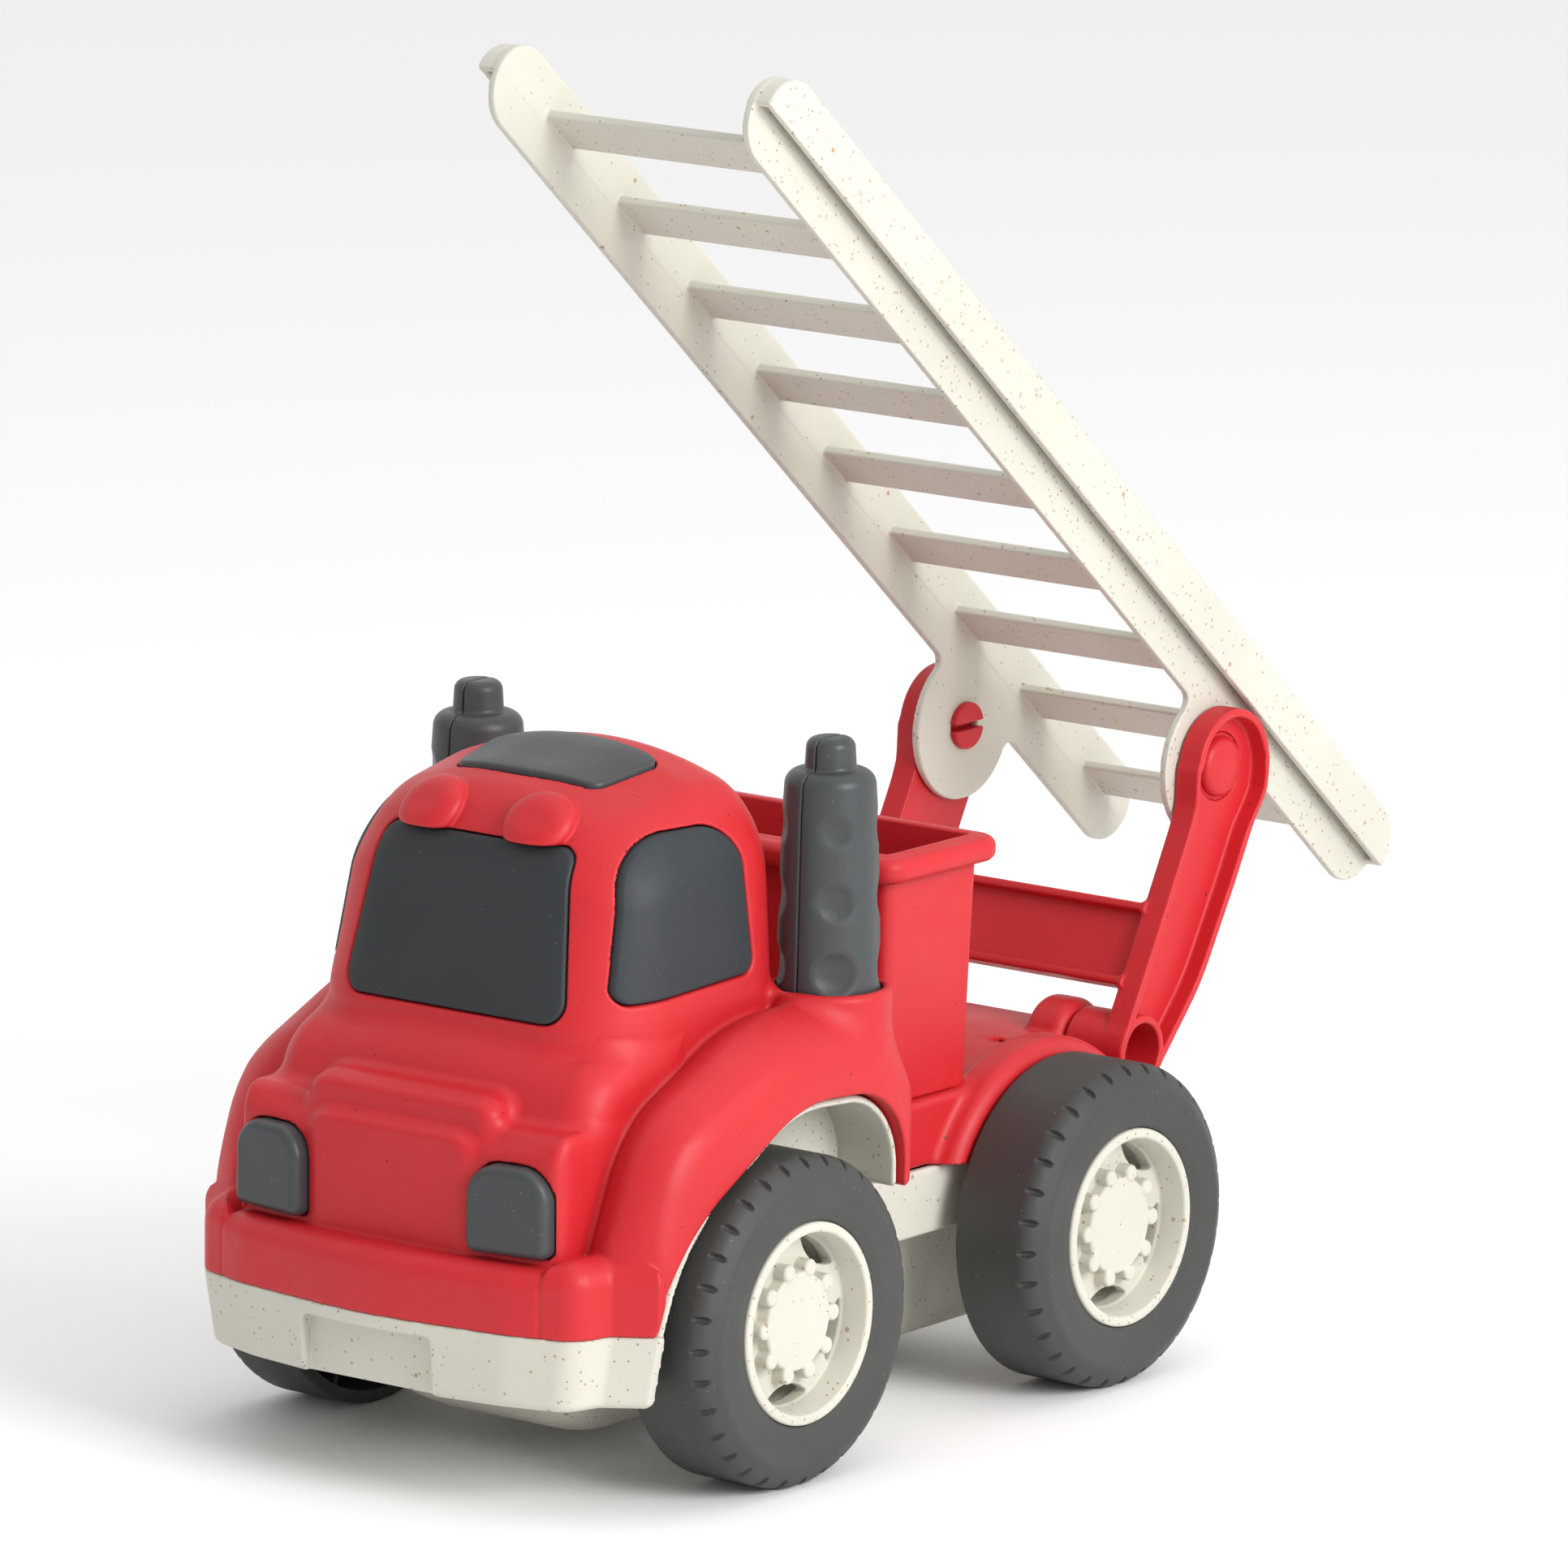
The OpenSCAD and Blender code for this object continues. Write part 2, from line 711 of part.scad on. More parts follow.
module ladder_pin(side) {
    color(red) on_side(side) difference() {
        union() {
            rod_x(pivot, pin_r, 34, arm_in_x + arm_wall + 0.5);
            translate([arm_in_x + arm_wall + 0.05, pivot[0], pivot[1]]) rotate([0, 90, 0])
                rotate_extrude() polygon(rounded(pin_head));
            rod_x(pivot, pin_r + 0.7, 33.6, rail_in_x - 0.2);
        }
        translate([30, pivot[0] - 10, pivot[1] - 0.8]) cube([7, 20, 1.6]);
    }
}
module ladder_pin_left() { ladder_pin(1); }
module ladder_pin_right() { ladder_pin(-1); }

// ---------- ladder ----------

// A point of the ladder's own plane as [y, z]
function on_ladder(u, n) =
    pivot + u * [-cos(ladder_angle), sin(ladder_angle)] + n * [sin(ladder_angle), cos(ladder_angle)];
function ladder_path(p) = [for (q = p) let (w = on_ladder(q[0], q[1])) [w[0], w[1], q[2]]];

rail_end_r = (rail_n[1] - rail_n[0]) / 2 - 0.05;
// These paths run from the foot to the head in u, which is anticlockwise once placed
rail_path = [
    [ladder_up, rail_n[0], rail_end_r], [-ladder_down, rail_n[0], rail_end_r],
    [-ladder_down, rail_n[1], rail_end_r], [ladder_up, rail_n[1], rail_end_r]
];

module rail() {
    difference() {
        union() {
            along_x(ladder_path(rail_path), rail_in_x, rail_in_x + rail_wall);
            rod_x(pivot, disc_r, rail_in_x, rail_in_x + rail_wall);
            difference() {
                along_x(ladder_path(rail_path), rail_in_x + rail_wall, rail_out_x);
                along_x(ladder_path([[ladder_up + 9, -9, 0], [-ladder_down - 9, -9, 0],
                    [-ladder_down - 9, lip_n, 0], [ladder_up + 9, lip_n, 0]]), rail_in_x + rail_wall, 50);
                along_x(ladder_path(inset_uv(rail_path, rail_wall)), rail_in_x + rail_wall,
                    rail_out_x - rail_wall);
            }
        }
        rod_x(pivot, pin_r + run_gap, 30, 50);
    }
}

// The rail path in its own plane, drawn smaller by d all round
function inset_uv(p, d) =
    [for (q = p) [q[0] > 0 ? q[0] - d : q[0] + d, q[1] < 10 ? q[1] + d : q[1] - d, q[2] - d]];

module rung(k) {
    u1 = rung_first_u - k * rung_pitch;
    u0 = u1 - rung_size[0];
    along_x(ladder_path([[u1, rung_n, 0], [u0, rung_n, 0], [u0, rung_n + rung_size[1], 0],
        [u1, rung_n + rung_size[1], 0]]), -rail_in_x - 0.5, rail_in_x + 0.5);
}

module ladder() {
    color(pale) {
        both_sides() rail();
        for (k = [0 : rung_count - 1]) rung(k);
    }
}

chassis_pan();
cab_shell();
deck_shell();
cargo_bin();
windscreen();
side_window_left();
side_window_right();
sunroof();
headlight_left();
headlight_right();
stack_left_outer();
stack_left_inner();
stack_right_outer();
stack_right_inner();
boom_frame();
ladder();
ladder_pin_left();
ladder_pin_right();
front_axle();
rear_axle();
tyre_front_left();
tyre_front_right();
tyre_rear_left();
tyre_rear_right();
hub_front_left();
hub_front_right();
hub_rear_left();
hub_rear_right();
cab_screws();
deck_screws();
bin_screws();
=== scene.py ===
"""Looks of the toy fire engine: every CAD node is replaced by a piece with soft edges.

Each piece is a signed distance in millimetres, in the row frame, meshed by solid().
Plastic parts are thin shells: skin < 0 and skin + wall > 0, with openings cut through them.
"""

import json
import math

import bpy
import numpy as np
from mathutils import Matrix, Vector


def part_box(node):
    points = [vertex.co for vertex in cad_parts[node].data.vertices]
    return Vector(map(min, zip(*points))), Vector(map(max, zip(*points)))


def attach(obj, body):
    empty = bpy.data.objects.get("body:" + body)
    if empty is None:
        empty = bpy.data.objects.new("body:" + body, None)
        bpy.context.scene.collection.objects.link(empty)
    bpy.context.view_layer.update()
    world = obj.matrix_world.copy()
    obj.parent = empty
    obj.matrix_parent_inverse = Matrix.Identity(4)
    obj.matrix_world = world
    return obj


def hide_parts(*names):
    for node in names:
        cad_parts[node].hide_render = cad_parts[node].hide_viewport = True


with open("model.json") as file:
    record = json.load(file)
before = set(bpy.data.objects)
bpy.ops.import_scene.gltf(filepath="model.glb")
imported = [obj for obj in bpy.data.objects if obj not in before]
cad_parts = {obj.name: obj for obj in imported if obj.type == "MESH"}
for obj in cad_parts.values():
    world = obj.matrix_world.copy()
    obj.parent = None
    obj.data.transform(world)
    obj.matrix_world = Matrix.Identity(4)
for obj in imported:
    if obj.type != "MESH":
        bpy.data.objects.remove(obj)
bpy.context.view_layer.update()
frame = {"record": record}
MM = 0.001
WALL = 2.2
GAP = 0.3


def span(node):
    """Lowest and highest corner of a CAD node, in millimetres."""
    lo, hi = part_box(node)
    return np.array(lo) / MM, np.array(hi) / MM


# where each joint turns, in millimetres
JOINT_AT = {joint["name"]: [round(v / MM, 3) for v in joint["pos_m"]]
            for joint in frame["record"]["behaviour"]["joints"]}


# ---------- signed distances ----------


def both(a, b, r=0.0):
    """Where a and b meet, with an edge of radius r."""
    if r <= 0:
        return np.maximum(a, b)
    return np.minimum(-r, np.maximum(a, b)) + np.hypot(np.maximum(a + r, 0), np.maximum(b + r, 0))


def join(a, b, r=0.0):
    """a and b together, with a fillet of radius r between them."""
    return -both(-a, -b, r)


def cut(a, b, r=0.0):
    """a without b, with an edge of radius r."""
    return both(a, -b, r)


def slab(w, lo, hi):
    return np.maximum(lo - w, w - hi)


def prism(flat, w, lo, hi, r=0.0):
    """A flat outline extruded from lo to hi along w, with its end edges rounded by r."""
    return both(flat, slab(w, lo, hi), r)


def disc(a, b, centre, r):
    return np.hypot(a - centre[0], b - centre[1]) - r


def ball(x, y, z, centre, radii):
    """An ellipsoid, as an approximate distance."""
    q = [(x - centre[0]) / radii[0], (y - centre[1]) / radii[1], (z - centre[2]) / radii[2]]
    k = np.sqrt(q[0] ** 2 + q[1] ** 2 + q[2] ** 2)
    return (k - 1) * min(radii)


def outline(path):
    """The signed distance to a closed anticlockwise outline of [u, v, corner radius] points."""
    pts = [np.array(p[:2], float) for p in path]
    starts, ends, arcs = [], [], []
    for i, b in enumerate(pts):
        a, c = pts[i - 1], pts[(i + 1) % len(pts)]
        r = max(path[i][2] if len(path[i]) > 2 else 0.0, 0.05)
        u, v = (a - b) / np.linalg.norm(a - b), (c - b) / np.linalg.norm(c - b)
        half = math.acos(float(np.clip(u @ v, -1, 1))) / 2
        mid = b + (u + v) / np.linalg.norm(u + v) * r / math.sin(half)
        s, e = b + u * r / math.tan(half), b + v * r / math.tan(half)
        left = (b - a)[0] * (c - b)[1] - (b - a)[1] * (c - b)[0] > 0
        starts.append(s)
        ends.append(e)
        arcs.append((mid, r, s - mid, e - mid, 1.0 if left else -1.0))

    def distance(u, v):
        best = np.full(np.shape(u), 1e9, np.float32)
        signed = best.copy()

        def nearer(size, value):
            m = size < best
            np.copyto(best, size, where=m)
            np.copyto(signed, value, where=m)

        for i, a in enumerate(ends):
            b = starts[(i + 1) % len(starts)]
            length = float(np.linalg.norm(b - a))
            e = (b - a) / max(length, 1e-9)
            du, dv = u - a[0], v - a[1]
            t = np.clip(du * e[0] + dv * e[1], 0, length)
            size = np.hypot(du - t * e[0], dv - t * e[1])
            nearer(size, np.copysign(size, du * e[1] - dv * e[0]))
        for mid, r, s, e, turn in arcs:
            du, dv = u - mid[0], v - mid[1]
            wedge = (turn * (s[0] * dv - s[1] * du) >= 0) & (turn * (du * e[1] - dv * e[0]) >= 0)
            value = turn * (np.hypot(du, dv) - r)
            nearer(np.where(wedge, np.abs(value), 1e9).astype(np.float32), value)
        return signed

    return distance


def box_path(u0, v0, u1, v1, r=0.0):
    return [[u0, v0, r], [u1, v0, r], [u1, v1, r], [u0, v1, r]]


# ---------- meshing ----------

BLOCK = 8
CHUNK = 400


def evaluate(f, p):
    out = np.empty(len(p), np.float32)
    for i in range(0, len(p), 200_000):
        q = p[i : i + 200_000].astype(np.float32)
        out[i : i + 200_000] = f(q[:, 0], q[:, 1], q[:, 2])
    return out


def slope(f, p, eps=0.02):
    g = np.empty_like(p)
    for k in range(3):
        d = np.zeros(3)
        d[k] = eps
        g[:, k] = (evaluate(f, p + d) - evaluate(f, p - d)) / (2 * eps)
    return g


def grid_values(f, lo, n, step):
    """f on a grid, worked out only in the blocks that its surface can cross."""
    blocks = [-(-k // BLOCK) for k in n]
    centre = np.stack(np.meshgrid(*[np.arange(k) for k in blocks], indexing="ij"), -1).reshape(-1, 3)
    middle = evaluate(f, lo + (centre * BLOCK + (BLOCK - 1) / 2) * step)
    reach = (BLOCK / 2 + 1) * step * math.sqrt(3) * 1.25
    values = np.repeat(np.repeat(np.repeat(
        np.sign(middle).reshape(blocks) * reach, BLOCK, 0), BLOCK, 1), BLOCK, 2).astype(np.float32)
    active = centre[np.abs(middle) < reach]
    offs = np.stack(np.meshgrid(*[np.arange(BLOCK)] * 3, indexing="ij"), -1).reshape(-1, 3)
    for i in range(0, len(active), CHUNK):
        g = (active[i : i + CHUNK, None, :] * BLOCK + offs).reshape(-1, 3)
        values[g[:, 0], g[:, 1], g[:, 2]] = evaluate(f, lo + g * step)
    return values


def solid(f, lo, hi, step):
    """(points, quads) of the surface f = 0 inside the box, by surface nets drawn onto the true surface."""
    lo = np.array(lo, float) - 2.37 * step
    n = np.ceil((np.array(hi, float) - lo) / step).astype(int) + 4
    values = grid_values(f, lo, n, step)
    inside = values < 0
    count = np.zeros(np.array(inside.shape) - 1, np.int8)
    for k in np.ndindex(2, 2, 2):
        count += inside[tuple(slice(d, d - 1 or None) for d in k)]
    mixed = (count > 0) & (count < 8)
    cells = np.argwhere(mixed)
    index = np.full(mixed.shape, -1, np.int64)
    index[mixed] = np.arange(len(cells))
    place, hits = np.zeros((len(cells), 3)), np.zeros(len(cells))
    quads = []
    for axis in range(3):
        one = np.eye(3, dtype=int)[axis]
        b, c = (axis + 1) % 3, (axis + 2) % 3
        for db in (0, 1):
            for dc in (0, 1):
                off = np.zeros(3, int)
                off[b], off[c] = db, dc
                p, q = cells + off, cells + off + one
                v0, v1 = values[tuple(p.T)], values[tuple(q.T)]
                hit = (v0 < 0) != (v1 < 0)
                t = np.where(hit, v0 / np.where(hit, v0 - v1, 1), 0)
                place += np.where(hit[:, None], off + t[:, None] * one, 0)
                hits += hit
        ahead = [slice(None)] * 3
        ahead[axis] = slice(1, None)
        here = [slice(None)] * 3
        here[axis] = slice(None, -1)
        e = np.argwhere(inside[tuple(ahead)] != inside[tuple(here)])
        e = e[(e[:, b] > 0) & (e[:, c] > 0) & (e[:, b] < mixed.shape[b]) & (e[:, c] < mixed.shape[c])]
        ub, uc = np.eye(3, dtype=int)[b], np.eye(3, dtype=int)[c]
        quad = np.stack([index[tuple((e - s).T)] for s in (0 * ub, ub, ub + uc, uc)], 1)
        out = inside[tuple(e.T)]
        quads.append(np.where(out[:, None], quad, quad[:, ::-1]))
    quads = np.concatenate(quads)
    p = lo + (cells + place / hits[:, None]) * step
    for relax in (0.0, 0.5, 0.3):
        if relax:
            total, near = np.zeros_like(p), np.zeros(len(p))
            for a, b in ((0, 1), (1, 2), (2, 3), (3, 0)):
                for i, j in ((a, b), (b, a)):
                    near += np.bincount(quads[:, i], minlength=len(p))
                    for k in range(3):
                        total[:, k] += np.bincount(quads[:, i], p[quads[:, j], k], len(p))
            p = p + relax * (total / np.maximum(near, 1)[:, None] - p)
        for _ in range(2):
            g = slope(f, p)
            size = np.maximum((g * g).sum(1), 0.05)
            move = -(evaluate(f, p) / size)[:, None] * g
            far = np.linalg.norm(move, axis=1)
            p = p + move * np.minimum(1, 0.6 * step / np.maximum(far, 1e-9))[:, None]
    return p, quads


def directions(f, p):
    """The surface's own direction at points on it."""
    g = slope(f, p, 0.05)
    return g / np.maximum(np.linalg.norm(g, axis=1), 1e-9)[:, None]


def thinned(shape, keep):
    """The mesh with keep of its triangles, fewest where it is flat."""
    if keep >= 1:
        return shape
    mesh = bpy.data.meshes.new("thinning")
    mesh.from_pydata(shape[0].astype(np.float32), [], shape[1].astype(np.int32))
    made = bpy.data.objects.new("thinning", mesh)
    bpy.context.scene.collection.objects.link(made)
    fewer = made.modifiers.new("fewer", "DECIMATE")
    fewer.ratio = keep
    done = made.evaluated_get(bpy.context.evaluated_depsgraph_get()).to_mesh()
    p = np.empty(len(done.vertices) * 3)
    done.vertices.foreach_get("co", p)
    done.calc_loop_triangles()
    faces = np.empty(len(done.loop_triangles) * 3, np.int64)
    done.loop_triangles.foreach_get("vertices", faces)
    bpy.data.objects.remove(made)
    return p.reshape(-1, 3), faces.reshape(-1, 3)


def flipped(shape):
    """The same shape on the other side of the engine."""
    p, quads, normals = shape
    flip = np.array([-1.0, 1.0, 1.0])
    return p * flip, quads[:, ::-1], normals * flip


def moved(shape, offset):
    p, quads, normals = shape
    return p + np.array(offset), quads, normals


def piece(name, shape, material, node):
    """A mesh object in place of a CAD node, riding on that node's body."""
    p, quads, normals = shape
    mesh = bpy.data.meshes.new(name)
    mesh.from_pydata((p * MM).astype(np.float32), [], quads.astype(np.int32))
    mesh.update()
    mesh.polygons.foreach_set("use_smooth", np.ones(len(mesh.polygons), bool))
    mesh.normals_split_custom_set_from_vertices(normals.astype(np.float32))
    mesh.materials.append(material)
    made = bpy.data.objects.new(name, mesh)
    bpy.context.scene.collection.objects.link(made)
    body = next(b for b, nodes in frame["record"]["behaviour"]["bodies"].items() if node in nodes)
    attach(made, body)
    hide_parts(node)
    return made


# ---------- materials ----------


def speckled(name, colour, rough, specks, mottle=0.04, grain=0.25):
    """Matt moulded plastic: slow colour drift, fine grain, wandering gloss, fibre specks and a painted
    highlight on convex edges.

    specks is [(colour, size in millimetres, share of cells that hold one)].
    """
    material = bpy.data.materials.new(name)
    material.use_nodes = True
    nodes, links = material.node_tree.nodes, material.node_tree.links
    shader = nodes["Principled BSDF"]
    where = nodes.new("ShaderNodeTexCoord").outputs["Object"]

    def noise(scale, detail=2.0):
        made = nodes.new("ShaderNodeTexNoise")
        made.inputs["Scale"].default_value = scale
        made.inputs["Detail"].default_value = detail
        links.new(where, made.inputs["Vector"])
        return made.outputs["Fac"]

    def spread(value, lo, hi, to_lo, to_hi):
        made = nodes.new("ShaderNodeMapRange")
        for socket, number in zip(("From Min", "From Max", "To Min", "To Max"), (lo, hi, to_lo, to_hi)):
            made.inputs[socket].default_value = number
        links.new(value, made.inputs["Value"])
        return made.outputs["Result"]

    def mix(factor, a, b, kind="MIX"):
        made = nodes.new("ShaderNodeMix")
        made.data_type, made.blend_type = "RGBA", kind
        for socket, value in ((0, factor), (6, a), (7, b)):
            if isinstance(value, bpy.types.NodeSocket):
                links.new(value, made.inputs[socket])
            else:
                made.inputs[socket].default_value = value
        return made.outputs[2]

    dark = [c * (1 - mottle) for c in colour]
    light = [min(1.0, c * (1 + mottle)) for c in colour]
    base = mix(spread(noise(18, 4), 0.35, 0.65, 0, 1), (*dark, 1), (*light, 1))
    # painted highlight: where the surface is convex (high pointiness) the colour is mixed toward a lighter
    # tone
    edge = nodes.new("ShaderNodeNewGeometry").outputs["Pointiness"]
    painted_edge_highlight = spread(edge, 0.52, 0.60, 0, 0.22)
    base = mix(painted_edge_highlight, base, (*[min(1.0, c * 1.12 + 0.03) for c in colour], 1))
    for k, (tint, size, share) in enumerate(specks):
        cells = nodes.new("ShaderNodeTexVoronoi")
        cells.inputs["Scale"].default_value = 1 / (size * 4 * MM)
        cells.inputs["Randomness"].default_value = 1.0
        links.new(where, cells.inputs["Vector"])
        picked = nodes.new("ShaderNodeSeparateColor")
        links.new(cells.outputs["Color"], picked.inputs["Color"])
        chosen = spread(picked.outputs[k % 3], 1 - share - 0.004, 1 - share + 0.004, 0, 1)
        near = spread(cells.outputs["Distance"], 0.12, 0.20, 0.8, 0)
        both_on = nodes.new("ShaderNodeMath")
        both_on.operation = "MULTIPLY"
        links.new(chosen, both_on.inputs[0])
        links.new(near, both_on.inputs[1])
        base = mix(both_on.outputs[0], base, (*tint, 1))
    links.new(base, shader.inputs["Base Color"])
    links.new(spread(noise(60, 3), 0.3, 0.7, rough - 0.06, rough + 0.07), shader.inputs["Roughness"])
    bump = nodes.new("ShaderNodeBump")
    bump.inputs["Strength"].default_value = grain
    bump.inputs["Distance"].default_value = 0.00012
    links.new(noise(1500, 2), bump.inputs["Height"])
    soft = nodes.new("ShaderNodeBump")
    soft.inputs["Strength"].default_value = 0.15
    soft.inputs["Distance"].default_value = 0.0006
    links.new(noise(90, 2), soft.inputs["Height"])
    links.new(soft.outputs["Normal"], bump.inputs["Normal"])
    links.new(bump.outputs["Normal"], shader.inputs["Normal"])
    shader.inputs["Specular IOR Level"].default_value = 0.36
    return material


def steel(name, colour, along):
    """Drawn or plated steel with fine lines along the x axis or round it."""
    material = bpy.data.materials.new(name)
    material.use_nodes = True
    nodes, links = material.node_tree.nodes, material.node_tree.links
    shader = nodes["Principled BSDF"]
    shader.inputs["Metallic"].default_value = 1.0
    place = nodes.new("ShaderNodeMapping")
    place.inputs["Scale"].default_value = along
    links.new(nodes.new("ShaderNodeTexCoord").outputs["Object"], place.inputs["Vector"])
    lines = nodes.new("ShaderNodeTexNoise")
    lines.inputs["Scale"].default_value = 900
    links.new(place.outputs["Vector"], lines.inputs["Vector"])
    for target, lo, hi in (("Roughness", 0.28, 0.5), ("Base Color", 0.85, 1.05)):
        ramp = nodes.new("ShaderNodeMapRange")
        ramp.inputs["To Min"].default_value, ramp.inputs["To Max"].default_value = lo, hi
        links.new(lines.outputs["Fac"], ramp.inputs["Value"])
        if target == "Roughness":
            links.new(ramp.outputs["Result"], shader.inputs["Roughness"])
        else:
            tint = nodes.new("ShaderNodeVectorMath")
            tint.operation = "SCALE"
            tint.inputs[0].default_value = colour
            links.new(ramp.outputs["Result"], tint.inputs["Scale"])
            links.new(tint.outputs["Vector"], shader.inputs["Base Color"])
    bump = nodes.new("ShaderNodeBump")
    bump.inputs["Strength"].default_value = 0.2
    bump.inputs["Distance"].default_value = 0.00005
    links.new(lines.outputs["Fac"], bump.inputs["Height"])
    links.new(bump.outputs["Normal"], shader.inputs["Normal"])
    return material


TAN, BROWN, SOOT, DUST = (0.36, 0.20, 0.09), (0.16, 0.09, 0.05), (0.09, 0.015, 0.015), (0.2, 0.2, 0.19)
RED = speckled("red_plastic", (0.53, 0.016, 0.022), 0.46, [(SOOT, 0.35, 0.03), (SOOT, 0.6, 0.012)])
PALE = speckled("pale_plastic", (0.575, 0.56, 0.485), 0.50,
                [(TAN, 0.5, 0.40), (BROWN, 0.35, 0.14), (TAN, 0.9, 0.06)])
GREY = speckled("grey_plastic", (0.050, 0.055, 0.058), 0.40, [(DUST, 0.25, 0.02)], grain=0.3)
GLAZE = speckled("window_plastic", (0.026, 0.030, 0.034), 0.56, [(DUST, 0.2, 0.01)], grain=0.35)
TYRE = speckled("tyre_plastic", (0.049, 0.051, 0.048), 0.55, [(DUST, 0.25, 0.03)], 0.10, grain=0.35)
ROD = steel("axle_steel", (0.60, 0.60, 0.62), (0.05, 1, 1))
SCREW = steel("screw_steel", (0.55, 0.55, 0.57), (1, 1, 0.2))

# ---------- cab and nose ----------

CAB_REAR, CAB_FRONT = -65.0, -137.5
BELT_Z, RAKE_Z = 107.0, 104.5
TUMBLE, RAKE, CROWN = 0.0775, 0.222, 0.0060
JOINT_Z = 42.0
BUMPER_Z = 25.0
CAB_POSTS, DECK_POSTS, BIN_POST = ((30, -147.8), (39.5, -79)), ((38, -42), (36, 44)), (26, -15.5)
POST_R, PILOT_R = 4, 1.52
cab_plan = outline([[-46, CAB_FRONT, 22], [46, CAB_FRONT, 22], [46, CAB_REAR, 20], [-46, CAB_REAR, 20]])
roof = outline([[-150, 20, 0], [CAB_REAR + 0.2, 20, 0], [CAB_REAR - 2, 160, 18], [-93, 160.8, 30],
                [-111, 157.2, 30], [-127, 151.6, 5], [-150, 149.5, 0]])


def cab_block(x, y, z):
    side, up = np.abs(x), np.maximum(z - RAKE_Z, 0)
    wide = side + TUMBLE * np.maximum(z - BELT_Z, 0)
    length = CAB_REAR - CAB_FRONT
    back = CAB_REAR + (y - CAB_REAR) * length / (length - RAKE * up)
    return both(cab_plan(wide, back) * 0.94, roof(y, z + CROWN * x * x) * 0.96, 11)


# the bonnet's front bows forward by BOW x^2, and its top falls by 0.0015 x^2
BOW = 0.0008
bonnet_side = outline([[-148.6, 30, 0], [-110, 30, 0], [-110, 108, 0], [-129, 105.5, 20], [-142.6, 99, 16],
                       [-148.6, 86, 5]])
panel_side = outline([[-155, 30, 0], [-110, 30, 0], [-110, 93.4, 0], [-151, 93.4, 3], [-155, 90, 4]])
grille_side = outline([[-159, 30, 0], [-110, 30, 0], [-110, 85.8, 0], [-156, 85.8, 3], [-159, 82.5, 3]])
pod_side = outline([[-157.2, 30, 0], [-110, 30, 0], [-110, 86, 0], [-151.5, 86, 6], [-157.2, 80, 6]])
panel_front = outline(box_path(-27, 30, 27, 93.2, 7))
grille_front = outline(box_path(-23.8, 30, 23.8, 85.6, 7))
nose_plan = outline([[-47, -154.6, 5], [-24, -159.6, 40], [24, -159.6, 40], [47, -154.6, 5], [47.5, -110, 0],
                     [-47.5, -110, 0]])
bumper_plan = outline([
    [-66, -141, 0], [-66, -143.4, 1], [-57, -149.5, 2.5], [-54.5, -158.8, 8], [-38, -163.6, 30],
    [0, -168.6, 120],
    [38, -163.6, 30], [54.5, -158.8, 8], [57, -149.5, 2.5], [66, -143.4, 1], [66, -141, 0]])
arch = outline([[-143.5, 20, 0], [-55.6, 20, 0], [-55.6, 84.3, 20], [-94.7, 86.8, 36], [-134.8, 62.9, 45],
                [-143.5, 42, 10]])
fender_side = outline([[-149.5, 20, 0], [-43, 20, 0], [-43, 84, 24], [-60, 106, 16], [-98, 106, 52],
                       [-137, 87, 36], [-149, 58, 30]])
fender_outer = outline([[20, 10, 0], [66.5, 10, 0], [69.5, 84, 12], [65, 116, 14], [20, 130, 0]])
fender_plan = outline([[20, -160, 0], [56, -150.5, 4], [67.5, -142.5, 7], [69.6, -98, 70], [69.4, -49.3, 6],
                       [20, -49.3, 0]])
STACK = np.array([51.1, -64.25])
SOCKET_Z, FOOT_Z = 107.0, 60.6


def fender(side, y, z):
    body = both(both(fender_side(y, z), fender_outer(side, z), 17), 43 - side, 13)
    return both(body, fender_plan(side, y), 5)


def nose(x, y, z):
    side = np.abs(x)
    bonnet = both(bonnet_side(y - BOW * x * x, z + 0.0015 * x * x), side - 47, 9)
    panel = both(panel_side(y, z), panel_front(x, z), 4)
    grille = both(grille_side(y, z), grille_front(x, z), 4)
    pods = both(pod_side(y, z), side - 47, 3)
    body = join(join(bonnet, panel, 2.4), pods, 2.4)
    return both(join(body, grille, 2.0), nose_plan(x, y), 2.5)


def cab_skin(x, y, z):
    side = np.abs(x)
    block = cab_block(x, y, z)
    body = join(block, nose(x, y, z), 2.5)
    body = join(body, fender(side, y, z), 2.2)
    plan = bumper_plan(x, y)
    bumper = both(both(plan, side - 47, 2.5), slab(z, 20, 57), 5)
    post = both(both(plan, 44.6 - side, 2.5), slab(z, 20, 59.5), 6.5)
    body = join(body, join(bumper, post, 0.5), 0.8)
    socket = both(disc(side, y, STACK, 14.6), slab(z, 60, SOCKET_Z), 1.6)
    body = join(body, socket, 3.5)
    lamp = ball(side, y, z, (15.2, -123, 147.8), (8.8, 10, 8))
    return join(body, both(lamp, block - 4.4, 3), 0.5)


windscreen = outline([[-32, 106, 5], [32, 106, 5], [27, 144.8, 4.5], [-27, 144.8, 4.5]])
side_window = outline([[-129.4, 110.6, 3.5], [-84.2, 112.2, 4], [-86.8, 147.2, 12], [-121.4, 147.2, 17]])
sunroof = outline([[-20.5, -110.5, 4], [0, -114.5, 60], [20.5, -110.5, 4], [24, -88, 6], [-24, -88, 6]])
headlight = outline([[-10.9, 58.3, 2.5], [10.9, 58.3, 2.5], [10.7, 79.2, 8], [-10.7, 79.2, 8]])
LAMP_AT, LAMP_TOE = (34.4, -157.6), math.radians(9.3)


def lamp_frame(side, y):
    """Across and along the headlight's own axis."""
    du, dv = side - LAMP_AT[0], y - LAMP_AT[1]
    c, s = math.cos(LAMP_TOE), math.sin(LAMP_TOE)
    return du * c + dv * s, dv * c - du * s


def lamp_lens(x, y, z):
    across, along = lamp_frame(x, y)
    return both(headlight(across, z) + GAP, slab(along, -2.4, 5), 2.2)


